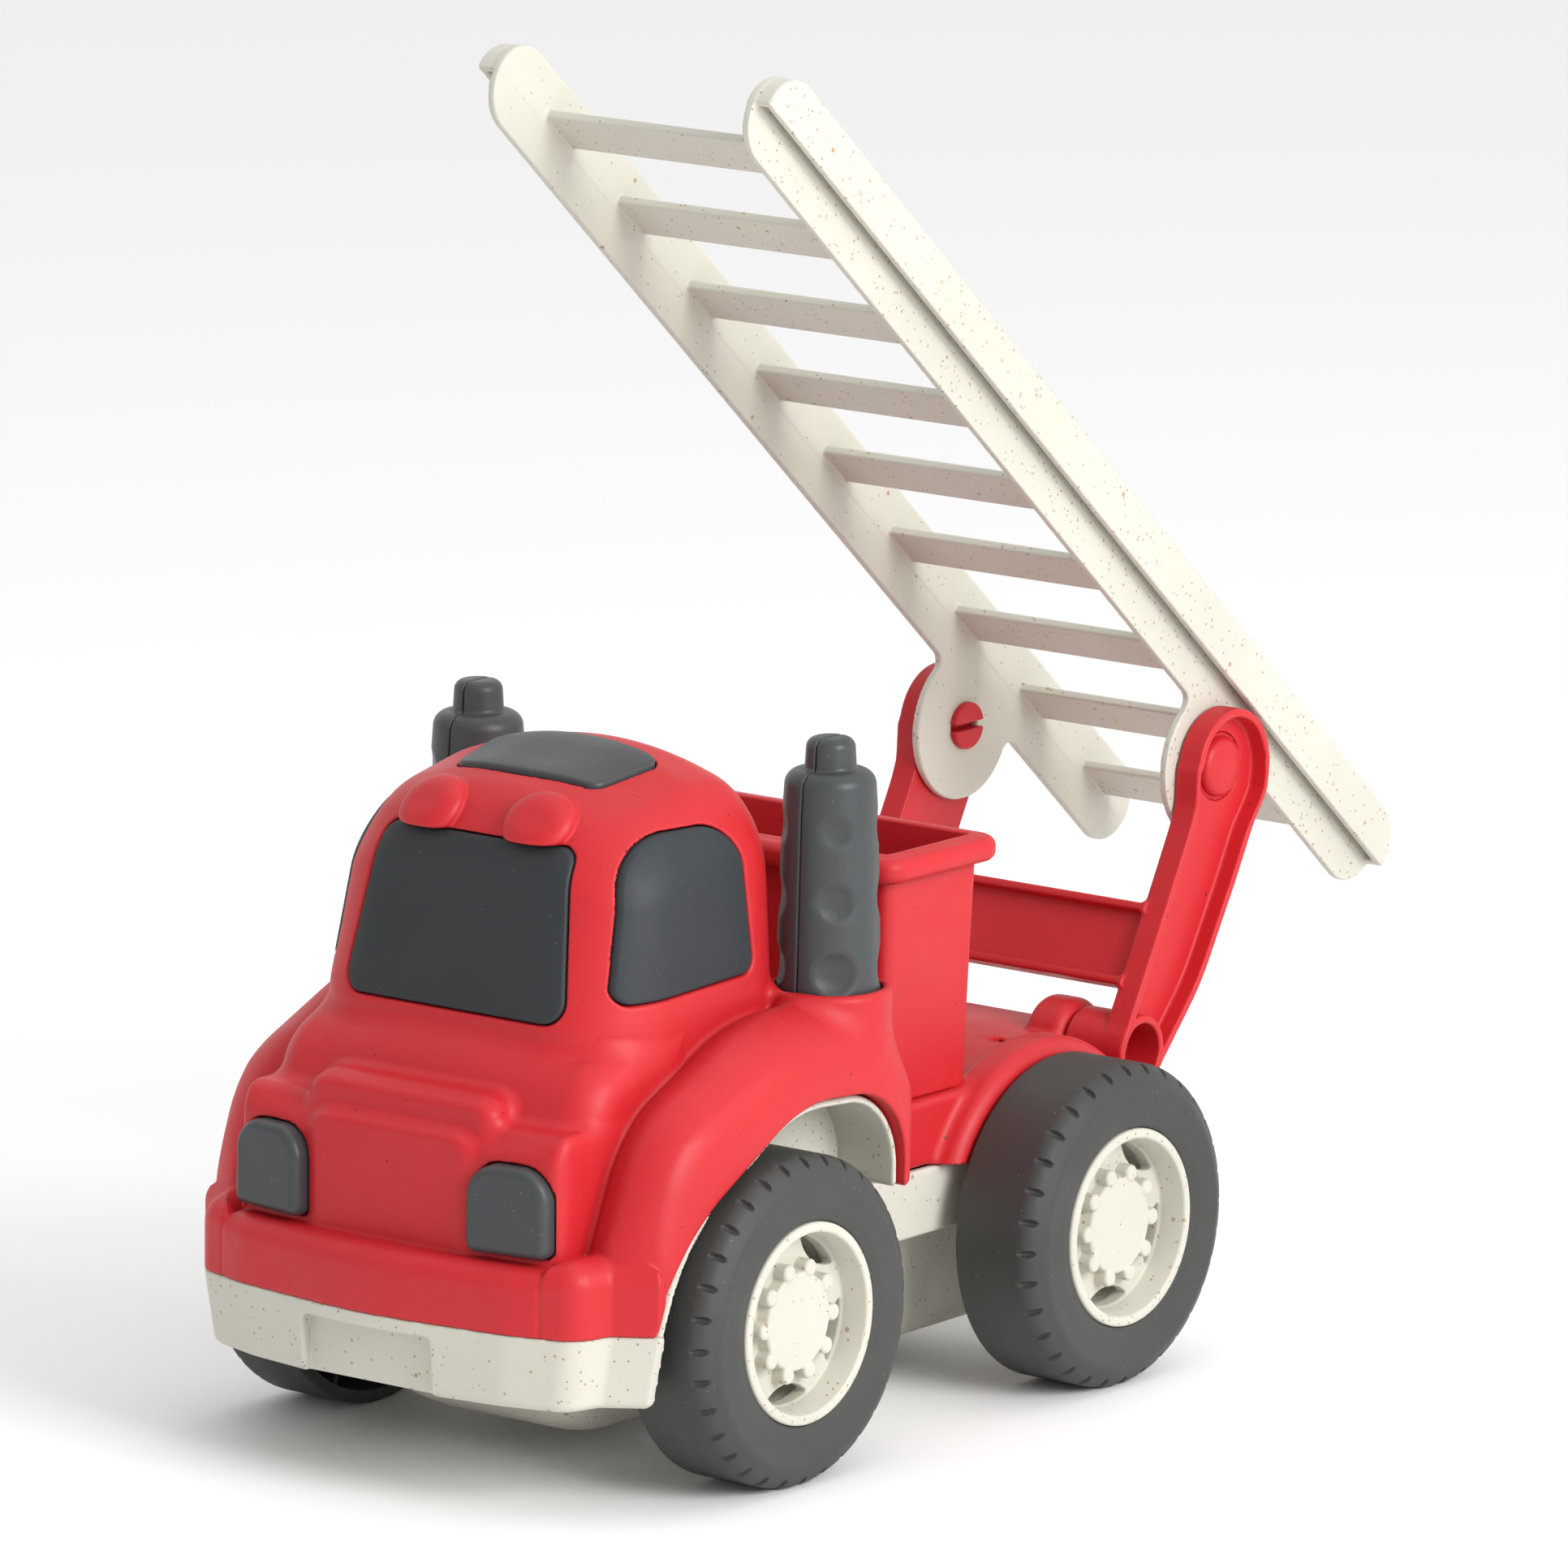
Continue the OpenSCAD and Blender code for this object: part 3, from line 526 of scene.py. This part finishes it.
def cab_shell(x, y, z):
    side = np.abs(x)
    skin = cab_skin(x, y, z)
    bore = disc(side, y, STACK, 12.3)
    opening = arch(y, z)
    under = both(46.9 - side, -80 - y)
    # the socket's floor, the flange round the arch and the foot of the wing are left solid
    hollow = np.maximum(skin + WALL, -both(disc(side, y, STACK, 14.6), slab(z, 98, SOCKET_Z)))
    hollow = np.maximum(hollow, -both(opening - WALL, 60 - side))
    hollow = np.maximum(hollow, -both(under, z - FOOT_Z - WALL))
    shell = both(skin, -hollow, 0.3)
    shell = cut(shell, prism(opening, side, 46.9, 100), 1.1)
    shell = cut(shell, both(bore, slab(z, 100.2, 200)), 0.7)
    shell = cut(shell, prism(windscreen(x, z), y, -160, -118), 0.9)
    shell = cut(shell, prism(side_window(y, z), side, 30, 60), 0.9)
    shell = cut(shell, prism(sunroof(x, y), z, 148, 180), 0.5)
    across, along = lamp_frame(side, y)
    shell = cut(shell, prism(headlight(across, z), along, -20, 12), 0.5)
    shell = cut(shell, both(under, z - FOOT_Z), 1.8)
    shell = both(shell, JOINT_Z - z, 0.35)
    front, rear = disc(side, y, CAB_POSTS[0], POST_R), disc(side, y, CAB_POSTS[1], POST_R)
    posts = np.minimum(both(front, slab(z, BUMPER_Z + WALL + GAP, 85)),
                       both(rear, slab(z, JOINT_Z + GAP, 90)))
    shell = np.minimum(shell, posts)
    shell = np.maximum(shell, -both(front + POST_R - PILOT_R, z - (BUMPER_Z + 17)))
    return np.maximum(shell, -both(rear + POST_R - PILOT_R, z - (JOINT_Z + 14)))


def pane(x, y, z, flat, proud, thick=1.8):
    """A panel that fills an opening of the cab with a fine gap round it."""
    skin = cab_block(x, y, z)
    return both(both(flat + GAP, skin - proud, 0.7), -(skin + thick), 0.3)


# ---------- stacks ----------

stack_side = outline([[-20, 100.3, 0], [11.9, 100.3, 0.8], [11.9, 108, 30], [10.9, 146, 40],
                      [10.2, 156.6, 3.6], [5.9, 156.8, 0.8], [5.5, 164, 2.4], [-20, 164, 0]])
stack_bore = outline([[-20, 98, 0], [8.4, 98, 0], [7.8, 150, 3], [-20, 153, 0]])
DIMPLES = (111.7, 127.8, 143.9)


def stack(x, y, z, inner):
    du, dv = x - STACK[0], y - STACK[1]
    r = np.hypot(du, dv)
    body = both(stack_side(r, z), -stack_bore(r, z), 0.3)
    # the four rows of dimples are one row on the diagonal, folded over both axes
    out, off = (np.abs(du) + np.abs(dv)) * math.sqrt(0.5), (np.abs(du) - np.abs(dv)) * math.sqrt(0.5)
    for level in DIMPLES:
        body = cut(body, ball(out, off, z, (17.0, 0, level), (7, 13, 7.6)), 0.5)
    return both(body, du + 0.09 if inner else 0.09 - du, 0.55)


# ---------- rear deck ----------

HINGE, PIVOT = JOINT_AT["boom_swing"][1:], JOINT_AT["ladder_tilt"][1:]
SPIGOT_R = 4.4
FRONT_Y, AXLE_Z = JOINT_AT["front_axle_spin"][1:]
REAR_Y = JOINT_AT["rear_axle_spin"][1]
DECK_Z, TRAY_Z = 71.0, 55.0
deck_plan = outline([[36, CAB_REAR + 0.9, 0], [36, -49, 1], [44.5, -49, 3], [44.5, 50, 4], [26.5, 54, 3],
                     [26.5, 72, 6], [-26.5, 72, 6], [-26.5, 54, 3], [-44.5, 50, 4], [-44.5, -49, 3],
                     [-36, -49, 1], [-36, CAB_REAR + 0.9, 0]])


def deck_skin(x, y, z):
    side = np.abs(x)
    flat = np.minimum(deck_plan(x, y), 50)
    body = prism(flat, z, TRAY_Z + GAP, DECK_Z, 1.8)
    guard = both(disc(y, z, (REAR_Y, AXLE_Z), 41), slab(side, 38, 50), 4)
    body = join(body, both(guard, TRAY_Z + GAP - z), 2.5)
    boss = both(disc(y, z, HINGE, 10), slab(side, 16, 26.8), 3.0)
    return join(body, boss, 1.2)


def deck_shell(x, y, z):
    side = np.abs(x)
    skin = deck_skin(x, y, z)
    boss = both(disc(y, z, HINGE, 10), slab(side, 16, 27))
    post = np.minimum.reduce([disc(side, y, at, POST_R) for at in DECK_POSTS])
    post = both(post, slab(z, JOINT_Z + GAP, DECK_Z - 1))
    hollow = np.maximum(both(skin + WALL, z - (DECK_Z - WALL)), -boss)
    low = both(skin + WALL, z - 60)
    shell = both(skin, -np.minimum(hollow, low), 0.2)
    shell = both(shell, TRAY_Z + GAP - z, 0.35)
    shell = np.minimum(shell, post)
    slot = both(both(slab(side, 17, 26), slab(y, 42, 45.4)), 60 - z)
    shell = cut(shell, slot, 0.4)
    hole = both(disc(y, z, HINGE, SPIGOT_R + GAP), slab(side, 18, 40))
    shell = cut(shell, hole, 0.2)
    pilot = np.minimum.reduce([disc(side, y, at, PILOT_R) for at in DECK_POSTS])
    shell = np.maximum(shell, -both(pilot, z - (JOINT_Z + 14)))
    return cut(shell, both(disc(side, y, BIN_POST, POST_R + GAP), slab(z, 50, 90)), 0.3)


# ---------- bin ----------

RIM_Z, BIN_MIDDLE = 130.0, -15.25
bin_foot = outline(box_path(-42, -31.5, 42, 1, 3.2))
bin_rim = outline(box_path(-48, -37, 48, 6.3, 6))


def bin_wall(x, y, z):
    """The tapered box: its plan grows by 2 mm a side and 1.5 mm an end on the way up."""
    rise = (np.clip(z, DECK_Z, RIM_Z) - DECK_Z) / (RIM_Z - DECK_Z)
    away = y - BIN_MIDDLE
    return bin_foot(x - 2 * rise * np.clip(x / 10, -1, 1), y - 1.5 * rise * np.clip(away / 8, -1, 1))


def cargo_bin(x, y, z):
    wall = bin_wall(x, y, z)
    body = both(wall, slab(z, DECK_Z, RIM_Z), 1.0)
    flat = bin_rim(x, y)
    rim = both(flat, slab(z, RIM_Z - 6, RIM_Z), 2.6)
    body = join(body, rim, 1.2)
    under = both(both(flat + 1.9, -(wall + 0.2)), z - (RIM_Z - 2.0), 0.3)
    body = cut(body, under, 0.3)
    inside = both(wall + 2.1, DECK_Z + WALL - z, 1.5)
    body = cut(body, inside, 0.9)
    boss = both(disc(np.abs(x), y, BIN_POST, POST_R), slab(z, DECK_Z - 7, DECK_Z + 3))
    body = np.minimum(body, boss)
    return np.maximum(body, -both(disc(np.abs(x), y, BIN_POST, PILOT_R), slab(z, 40, DECK_Z + 1)))


# ---------- chassis ----------

belly_side = outline([[-130, 80, 0], [-130, 16, 20], [-112, 4.6, 18], [28, 6, 12], [50, 22, 22],
                      [50, 80, 0]])
belly_front = outline([[-33, 80, 0], [-33, 40, 8], [-28, 4.6, 16], [28, 4.6, 16], [33, 40, 8],
                       [33, 80, 0]])
TUBE_R, BORE_R, HOLE_R = 5, 2.06, 1.8
PLATE_Y = -163.0
plate = outline([[-18, 0, 0], [18, 0, 0], [18.4, 38.7, 1.5], [-18.4, 38.7, 1.5]])
front_tray = outline(box_path(-49, -143, 49, -64, 4))
mid_tray = outline(box_path(-40, -70, 40, -40, 4))
rear_tray = outline(box_path(-45, -50, 45, 72, 4))


def chassis_pan(x, y, z):
    side = np.abs(x)
    drop = JOINT_Z - z
    lean = 0.07 * np.maximum(drop - 5, 0) * np.clip((-150 - y) / 10, 0, 1)
    draft = bumper_plan(x * (1 + 0.0032 * drop), y - lean)
    pan = both(both(draft, BUMPER_Z - z, 1.8), -drop, 0.4)
    pan = both(pan, -np.maximum(draft + WALL, BUMPER_Z + WALL - z), 0.3)
    backing = both(both(side - 20.4, y - PLATE_Y - WALL), draft + 0.1)
    backing = both(backing, slab(z, BUMPER_Z + 0.5, JOINT_Z - 1))
    pan = np.minimum(pan, backing)
    pan = cut(pan, prism(plate(x, z), y, -180, PLATE_Y), 0.7)
    tray = both(np.minimum(front_tray(x, y), mid_tray(x, y)), slab(z, JOINT_Z - WALL, JOINT_Z - 0.2), 0.3)
    rear = both(rear_tray(x, y), slab(z, JOINT_Z - WALL - 0.3, TRAY_Z), 0.8)
    rear = cut(rear, both(rear_tray(x, y) + WALL, JOINT_Z - 0.4 - z), 0.4)
    belly = both(both(belly_side(y, z), belly_front(x, z), 6), z - (JOINT_Z - 1))
    hollow = both(both(belly_side(y, z), belly_front(x, z), 6) + WALL, z - 60)
    outer = arch(y, z) + 0.5
    liner = both(both(outer, slab(side, 47.3, 65.5), 1.5), JOINT_Z - 1.4 - z)
    room = np.minimum(arch(y, z), arch(y, z + 20)) + 2.3
    liner = cut(liner, both(room, 49.3 - side), 0.8)
    liner = cut(liner, both(both(49.8 - side, -80 - y), z - FOOT_Z), 1.5)
    liner = np.maximum(liner, -both(disc(y, z, (FRONT_Y, AXLE_Z), 38.8), 49.8 - side))
    body = np.minimum(np.minimum(pan, tray), np.minimum(rear, liner))
    body = join(body, belly, 1.0)
    axles = np.minimum(disc(y, z, (FRONT_Y, AXLE_Z), 0), disc(y, z, (REAR_Y, AXLE_Z), 0))
    body = join(body, both(axles - TUBE_R, slab(side, 20, 43.3), 0.4), 0.6)
    body = np.maximum(body, -np.maximum(hollow, TUBE_R - axles))
    body = np.maximum(body, -both(axles - BORE_R, side - 60))
    body = np.maximum(body, -both(disc(side, y, CAB_POSTS[0], HOLE_R), slab(z, 20, 30)))
    for at in (CAB_POSTS[1], *DECK_POSTS):
        body = np.maximum(body, -both(disc(side, y, at, HOLE_R), slab(z, 37, 44)))
    return body


# ---------- boom ----------

ARM_IN, ARM_OUT, ARM_WALL, HEAD_R = 37.9, 44.5, 2.0, 14.2
arm = outline([[70.5, 60.5, 4], [88.6, 80.2, 60], [101.4, 102, 80], [113, 123.6, 0], [112, 131, 0],
               [87, 131, 0], [85.2, 122, 40], [73.2, 99.5, 60], [57, 70, 4]])
BAR_FOOT, BAR_HEAD = np.array([64.0, 83.5]), np.array([73.8, 101.5])


def boom_frame(x, y, z):
    side = np.abs(x)
    shape = join(arm(y, z), disc(y, z, PIVOT, HEAD_R), 3)
    web = both(shape, slab(side, ARM_IN, ARM_OUT), 0.7)
    pocket = both(shape + ARM_WALL, ARM_IN + ARM_WALL - side, 0.9)
    body = cut(web, pocket, 0.4)
    hub = both(disc(y, z, HINGE, 8.6), slab(side, 27.5, ARM_OUT), 0.8)
    body = join(body, hub, 0.6)
    spigot = both(disc(y, z, HINGE, SPIGOT_R), slab(side, 19, 29), 0.4)
    body = np.minimum(body, spigot)
    body = cut(body, both(disc(y, z, HINGE, 6.65), 30.3 - side), 0.5)
    e = (BAR_HEAD - BAR_FOOT) / np.linalg.norm(BAR_HEAD - BAR_FOOT)
    s = (y - BAR_FOOT[0]) * e[0] + (z - BAR_FOOT[1]) * e[1]
    t = (y - BAR_FOOT[0]) * e[1] - (z - BAR_FOOT[1]) * e[0]
    length = float(np.linalg.norm(BAR_HEAD - BAR_FOOT))
    bar = both(slab(s, 0, length), slab(t, 0, 5), 0.8)
    bar = cut(bar, both(slab(s, 2, length - 2), t - 3), 0.5)
    body = join(body, both(bar, side - ARM_IN - 0.5), 1.5)
    seat = both(disc(y, z, PIVOT, 8.2), ARM_IN + 1.4 - side)
    body = cut(body, seat, 0.4)
    return cut(body, both(disc(y, z, PIVOT, 5.06), slab(side, 30, 60)), 0.2)


pin_side = outline([[-10, 33.6, 0], [5.7, 33.6, 0.7], [5.7, 35.3, 0.3], [5, 35.9, 0.1], [5, 39.2, 0],
                    [7.3, 39.35, 0.4], [7.0, 41.4, 2.2], [2.5, 42.6, 6], [-10, 42.6, 0]])


def ladder_pin(x, y, z):
    body = pin_side(np.hypot(y - PIVOT[0], z - PIVOT[1]), x)
    split = both(slab(z - PIVOT[1], -0.8, 0.8), x - 37)
    return cut(body, split, 0.3)


# ---------- ladder ----------

TILT = math.radians(41.25)
UP, DOWN = 251.0, 71.0
RAIL_IN, RAIL_OUT, LIP_N = 35.5, 42.0, 16.6
rail = outline([[-DOWN, 7.5, 10.2], [UP, 7.5, 10.2], [UP, 28, 10.2], [-DOWN, 28, 10.2]])
RUNGS = [230.2 - 34.65 * k for k in range(9)]


def ladder(x, y, z):
    side = np.abs(x)
    dy, dz = y - PIVOT[0], z - PIVOT[1]
    u = -dy * math.cos(TILT) + dz * math.sin(TILT)
    n = dy * math.sin(TILT) + dz * math.cos(TILT)
    flat = rail(u, n)
    web = join(flat, np.hypot(u, n) - 18.0, 4)
    body = both(web, slab(side, RAIL_IN, RAIL_IN + 2), 0.45)
    lip = both(flat, slab(side, RAIL_IN, RAIL_OUT), 0.45)
    lip = cut(both(lip, LIP_N - n, 0.4), both(flat + 2, slab(side, RAIL_IN + 2, RAIL_OUT - 2)), 0.6)
    body = join(body, lip, 0.6)
    rungs = None
    for top in RUNGS:
        one = both(slab(u, top - 13, top), slab(n, 18, 20.2), 0.5)
        rungs = one if rungs is None else np.minimum(rungs, one)
    body = join(body, both(rungs, side - RAIL_IN - 0.5), 0.8)
    return cut(body, both(np.hypot(u, n) - 5.06, slab(side, 30, 60)), 0.3)


# ---------- wheels, at the left side, about their own axle ----------

tyre_side = outline([[23.3, 57, 0.3], [25.6, 57, 0.3], [25.6, 70.6, 2], [35, 69, 4], [35, 51.0, 0.5],
                     [38, 51.0, 0.8], [38, 71.2, 4.6], [33.0, 74, 3.0], [26.5, 73.6, 3.0], [23.3, 73.0, 0.8]])
NOTCHES, RIBS = 32, 12
SHOULDER, SHOULDER_LEAN = (37.4, 70.8), math.radians(30.4)


def fold(y, z, count, phase=0.0):
    """Radius, and the offset from the middle of the nearest of count equal sectors."""
    r, a = np.hypot(y, z), np.arctan2(z, y) - phase
    step = 2 * math.pi / count
    a = a - np.round(a / step) * step
    return r * np.cos(a), r * np.sin(a), r


def tyre(x, y, z):
    out, off, r = fold(y, z, NOTCHES)
    body = tyre_side(r, x)
    rib_out, rib_off, _ = fold(y, z, RIBS, math.radians(15))
    ribs = both(both(slab(rib_out, 24.5, 36), slab(rib_off, -0.8, 0.8)), slab(x, 57, 71), 0.2)
    body = join(body, ribs, 0.6)
    # each notch is a lens pressed into the shoulder, across its slope
    c, s = math.cos(SHOULDER_LEAN), math.sin(SHOULDER_LEAN)
    deep = (out - SHOULDER[0]) * c + (x - SHOULDER[1]) * s
    along = (x - SHOULDER[1]) * c - (out - SHOULDER[0]) * s
    return cut(body, ball(deep, along, off, (0.1, 0.5, 0), (1.35, 2.8, 0.8)), 0.15)


hub_side = outline([[-5, 64.4, 0], [18.4, 64.4, 0.5], [20.4, 62, 1], [20.4, 58, 0.3], [23.2, 58, 0.3],
                    [23.2, 73.5, 0.7], [20.9, 73.7, 0.7], [19.7, 66.9, 0.8], [11.7, 66.9, 0.5],
                    [11.3, 70.3, 0.8], [-5, 70.6, 0]])
boss_side = outline([[-5, 51.2, 0], [4.6, 51.2, 0.5], [4.6, 66, 0.5], [-5, 66, 0]])
STUDS, SLOTS = 10, 5


def hub(x, y, z):
    r = np.hypot(y, z)
    body = join(hub_side(r, x), boss_side(r, x), 0.6)
    out, off, _ = fold(y, z, STUDS)
    body = join(body, both(np.hypot(out - 12.4, off) - 2.0, slab(x, 65.5, 70.8), 0.8), 0.4)
    out, off, _ = fold(y, z, SLOTS, math.radians(54))
    slot = both(r - 19.4, np.hypot(out - 26, off) - 11, 0.7)
    body = cut(body, both(slot, slab(x, 50, 90)), 0.4)
    return np.maximum(body, -both(r - 2, x - 68.9))


axle_side = outline([[-5, -68.8, 0], [2, -68.8, 0.5], [2, 68.8, 0.5], [-5, 68.8, 0]])


def screw(x, y, z, at, head_z, reach):
    r = np.hypot(x - at[0], y - at[1])
    thread = 0.12 * np.sin((z + np.arctan2(y - at[1], x - at[0]) / (2 * math.pi)) * 2 * math.pi / 1.1)
    body = join(both(r - 3, slab(z, head_z - 2, head_z), 0.8),
                both(r - 1.38 + thread, slab(z, head_z - 0.5, head_z + reach), 0.4), 0.2)
    cross = np.minimum(both(slab(x - at[0], -0.35, 0.35), slab(y - at[1], -1.8, 1.8)),
                       both(slab(y - at[1], -0.35, 0.35), slab(x - at[0], -1.8, 1.8)))
    return cut(body, both(cross, z - (head_z - 1.0)), 0.15)


def screws(*places):
    """Pairs of screws, each place as (x and y, height of the head, reach)."""

    def all_of_them(x, y, z):
        return np.minimum.reduce([screw(np.abs(x), y, z, *place) for place in places])

    return all_of_them


# ---------- build ----------


def formed(f, lo, hi, step, keep=1.0):
    p, faces = thinned(solid(f, lo, hi, step), keep)
    return p, faces, directions(f, p)


def build(node, f, step, material, grow=0.5, keep=1.0):
    lo, hi = span(node)
    shape = formed(f, lo - grow, hi + grow, step, keep)
    return shape, piece(node + "_moulded", shape, material, node)


COARSE = 1.0

for node, f, step, keep in (("cab_shell", cab_shell, 0.6, 0.55), ("deck_shell", deck_shell, 0.8, 0.7),
                            ("cargo_bin", cargo_bin, 0.7, 0.5), ("boom_frame", boom_frame, 0.55, 0.5)):
    build(node, f, step * COARSE, RED, grow=3, keep=keep)
for node, f, step, keep in (("chassis_pan", chassis_pan, 0.8, 0.5), ("ladder", ladder, 0.6, 0.5)):
    build(node, f, step * COARSE, PALE, grow=2, keep=keep)
build("windscreen", lambda x, y, z: pane(x, y, z, np.maximum(windscreen(x, z), y + 118), 0.15),
      0.45 * COARSE, GLAZE, 3)
build("sunroof", lambda x, y, z: pane(x, y, z, np.maximum(sunroof(x, y), 145 - z), 0.9),
      0.45 * COARSE, GREY, 3)
shape, _ = build("side_window_left",
                 lambda x, y, z: pane(x, y, z, np.maximum(side_window(y, z), 20 - x), 0.1),
                 0.45 * COARSE, GLAZE, 3)
piece("side_window_right_moulded", flipped(shape), GLAZE, "side_window_right")
shape, _ = build("headlight_left", lamp_lens, 0.5 * COARSE, GREY, 2)
piece("headlight_right_moulded", flipped(shape), GREY, "headlight_right")
for part, inner in (("outer", False), ("inner", True)):
    shape, _ = build("stack_left_" + part, lambda x, y, z, inner=inner: stack(x, y, z, inner),
                     0.5 * COARSE, GREY, 1)
    piece("stack_right_" + part + "_moulded", flipped(shape), GREY, "stack_right_" + part)
shape, _ = build("ladder_pin_left", ladder_pin, 0.4 * COARSE, RED, 1)
piece("ladder_pin_right_moulded", flipped(shape), RED, "ladder_pin_right")

tyre_shape = formed(tyre, (50, -39, -39), (75, 39, 39), 0.5 * COARSE)
hub_shape = formed(hub, (50, -24.5, -24.5), (75, 24.5, 24.5), 0.4 * COARSE, 0.6)
axle_shape = formed(lambda x, y, z: axle_side(np.hypot(y, z), x), (-70, -3, -3), (70, 3, 3), 0.4 * COARSE)
for end, at in (("front", FRONT_Y), ("rear", REAR_Y)):
    place = (0, at, AXLE_Z)
    piece(end + "_axle_rod", moved(axle_shape, place), ROD, end + "_axle")
    for side, turn in (("left", lambda s: s), ("right", flipped)):
        piece(f"tyre_{end}_{side}_moulded", moved(turn(tyre_shape), place), TYRE, f"tyre_{end}_{side}")
        piece(f"hub_{end}_{side}_moulded", moved(turn(hub_shape), place), PALE, f"hub_{end}_{side}")

floor_z = JOINT_Z - WALL
deck_places = [(at, floor_z - GAP, 12) for at in DECK_POSTS]
for node, places in (("cab_screws", [(CAB_POSTS[0], BUMPER_Z, 12), (CAB_POSTS[1], floor_z, 12)]),
                     ("deck_screws", deck_places), ("bin_screws", [(BIN_POST, DECK_Z - 7, 7)])):
    build(node, screws(*places), 0.35 * COARSE, SCREW, 1)

# ---------- floor, light and camera ----------

floor_mesh = bpy.data.meshes.new("floor")
FAR = 6.0
floor_mesh.from_pydata([(-FAR, -FAR, 0), (FAR, -FAR, 0), (FAR, FAR, 0), (-FAR, FAR, 0)], [], [(0, 1, 2, 3)])
floor = bpy.data.objects.new("floor", floor_mesh)
bpy.context.scene.collection.objects.link(floor)
ground = bpy.data.materials.new("floor_white")
ground.use_nodes = True
ground.node_tree.nodes["Principled BSDF"].inputs["Base Color"].default_value = (0.93, 0.93, 0.93, 1)
ground.node_tree.nodes["Principled BSDF"].inputs["Roughness"].default_value = 0.9
floor_mesh.materials.append(ground)

world = bpy.data.worlds.new("studio")
bpy.context.scene.world = world
world.use_nodes = True
world.node_tree.nodes["Background"].inputs["Color"].default_value = (1, 1, 1, 1)
# the sky is dimmer in front of the engine than behind it
tree = world.node_tree
facing, dimmer = tree.nodes.new("ShaderNodeSeparateXYZ"), tree.nodes.new("ShaderNodeMapRange")
tree.links.new(tree.nodes.new("ShaderNodeTexCoord").outputs["Generated"], facing.inputs["Vector"])
tree.links.new(facing.outputs["Y"], dimmer.inputs["Value"])
for socket, value in (("From Min", -1.0), ("From Max", 0.2), ("To Min", 0.5), ("To Max", 1.0)):
    dimmer.inputs[socket].default_value = value
tree.links.new(dimmer.outputs["Result"], tree.nodes["Background"].inputs["Strength"])


def area(name, at, aim, size, power):
    lamp_data = bpy.data.lights.new(name, "AREA")
    lamp_data.shape, lamp_data.size, lamp_data.energy = "SQUARE", size, power
    made = bpy.data.objects.new(name, lamp_data)
    made.location = Vector(at)
    made.rotation_mode = "QUATERNION"
    made.rotation_quaternion = (Vector(aim) - Vector(at)).to_track_quat("-Z", "Y")
    bpy.context.scene.collection.objects.link(made)


CENTRE = (0, -0.03, 0.1)
area("key", (1.6, -0.25, 0.9), CENTRE, 0.9, 25)
area("top", (0.0, 0.2, 1.8), CENTRE, 1.4, 4)

target = Vector((0.00908, -0.02708, 0.14163))
az, el, roll = math.radians(37.75), math.radians(11.59), math.radians(0.60)
back = Vector((math.sin(az) * math.cos(el), -math.cos(az) * math.cos(el), math.sin(el)))
right = Vector((math.cos(az), math.sin(az), 0))
above = back.cross(right)
right_rolled = right * math.cos(roll) + above * math.sin(roll)
up_rolled = above * math.cos(roll) - right * math.sin(roll)
lens = bpy.data.cameras.new("camera")
lens.sensor_width = 36.0
lens.lens = 305.7
lens.clip_end = 20
camera = bpy.data.objects.new("camera", lens)
camera.matrix_world = Matrix((
    (right_rolled.x, up_rolled.x, back.x, 0), (right_rolled.y, up_rolled.y, back.y, 0),
    (right_rolled.z, up_rolled.z, back.z, 0), (0, 0, 0, 1)))
camera.location = target + back * 3.05239
bpy.context.scene.collection.objects.link(camera)
bpy.context.scene.camera = camera
bpy.context.scene.view_settings.view_transform = "Standard"
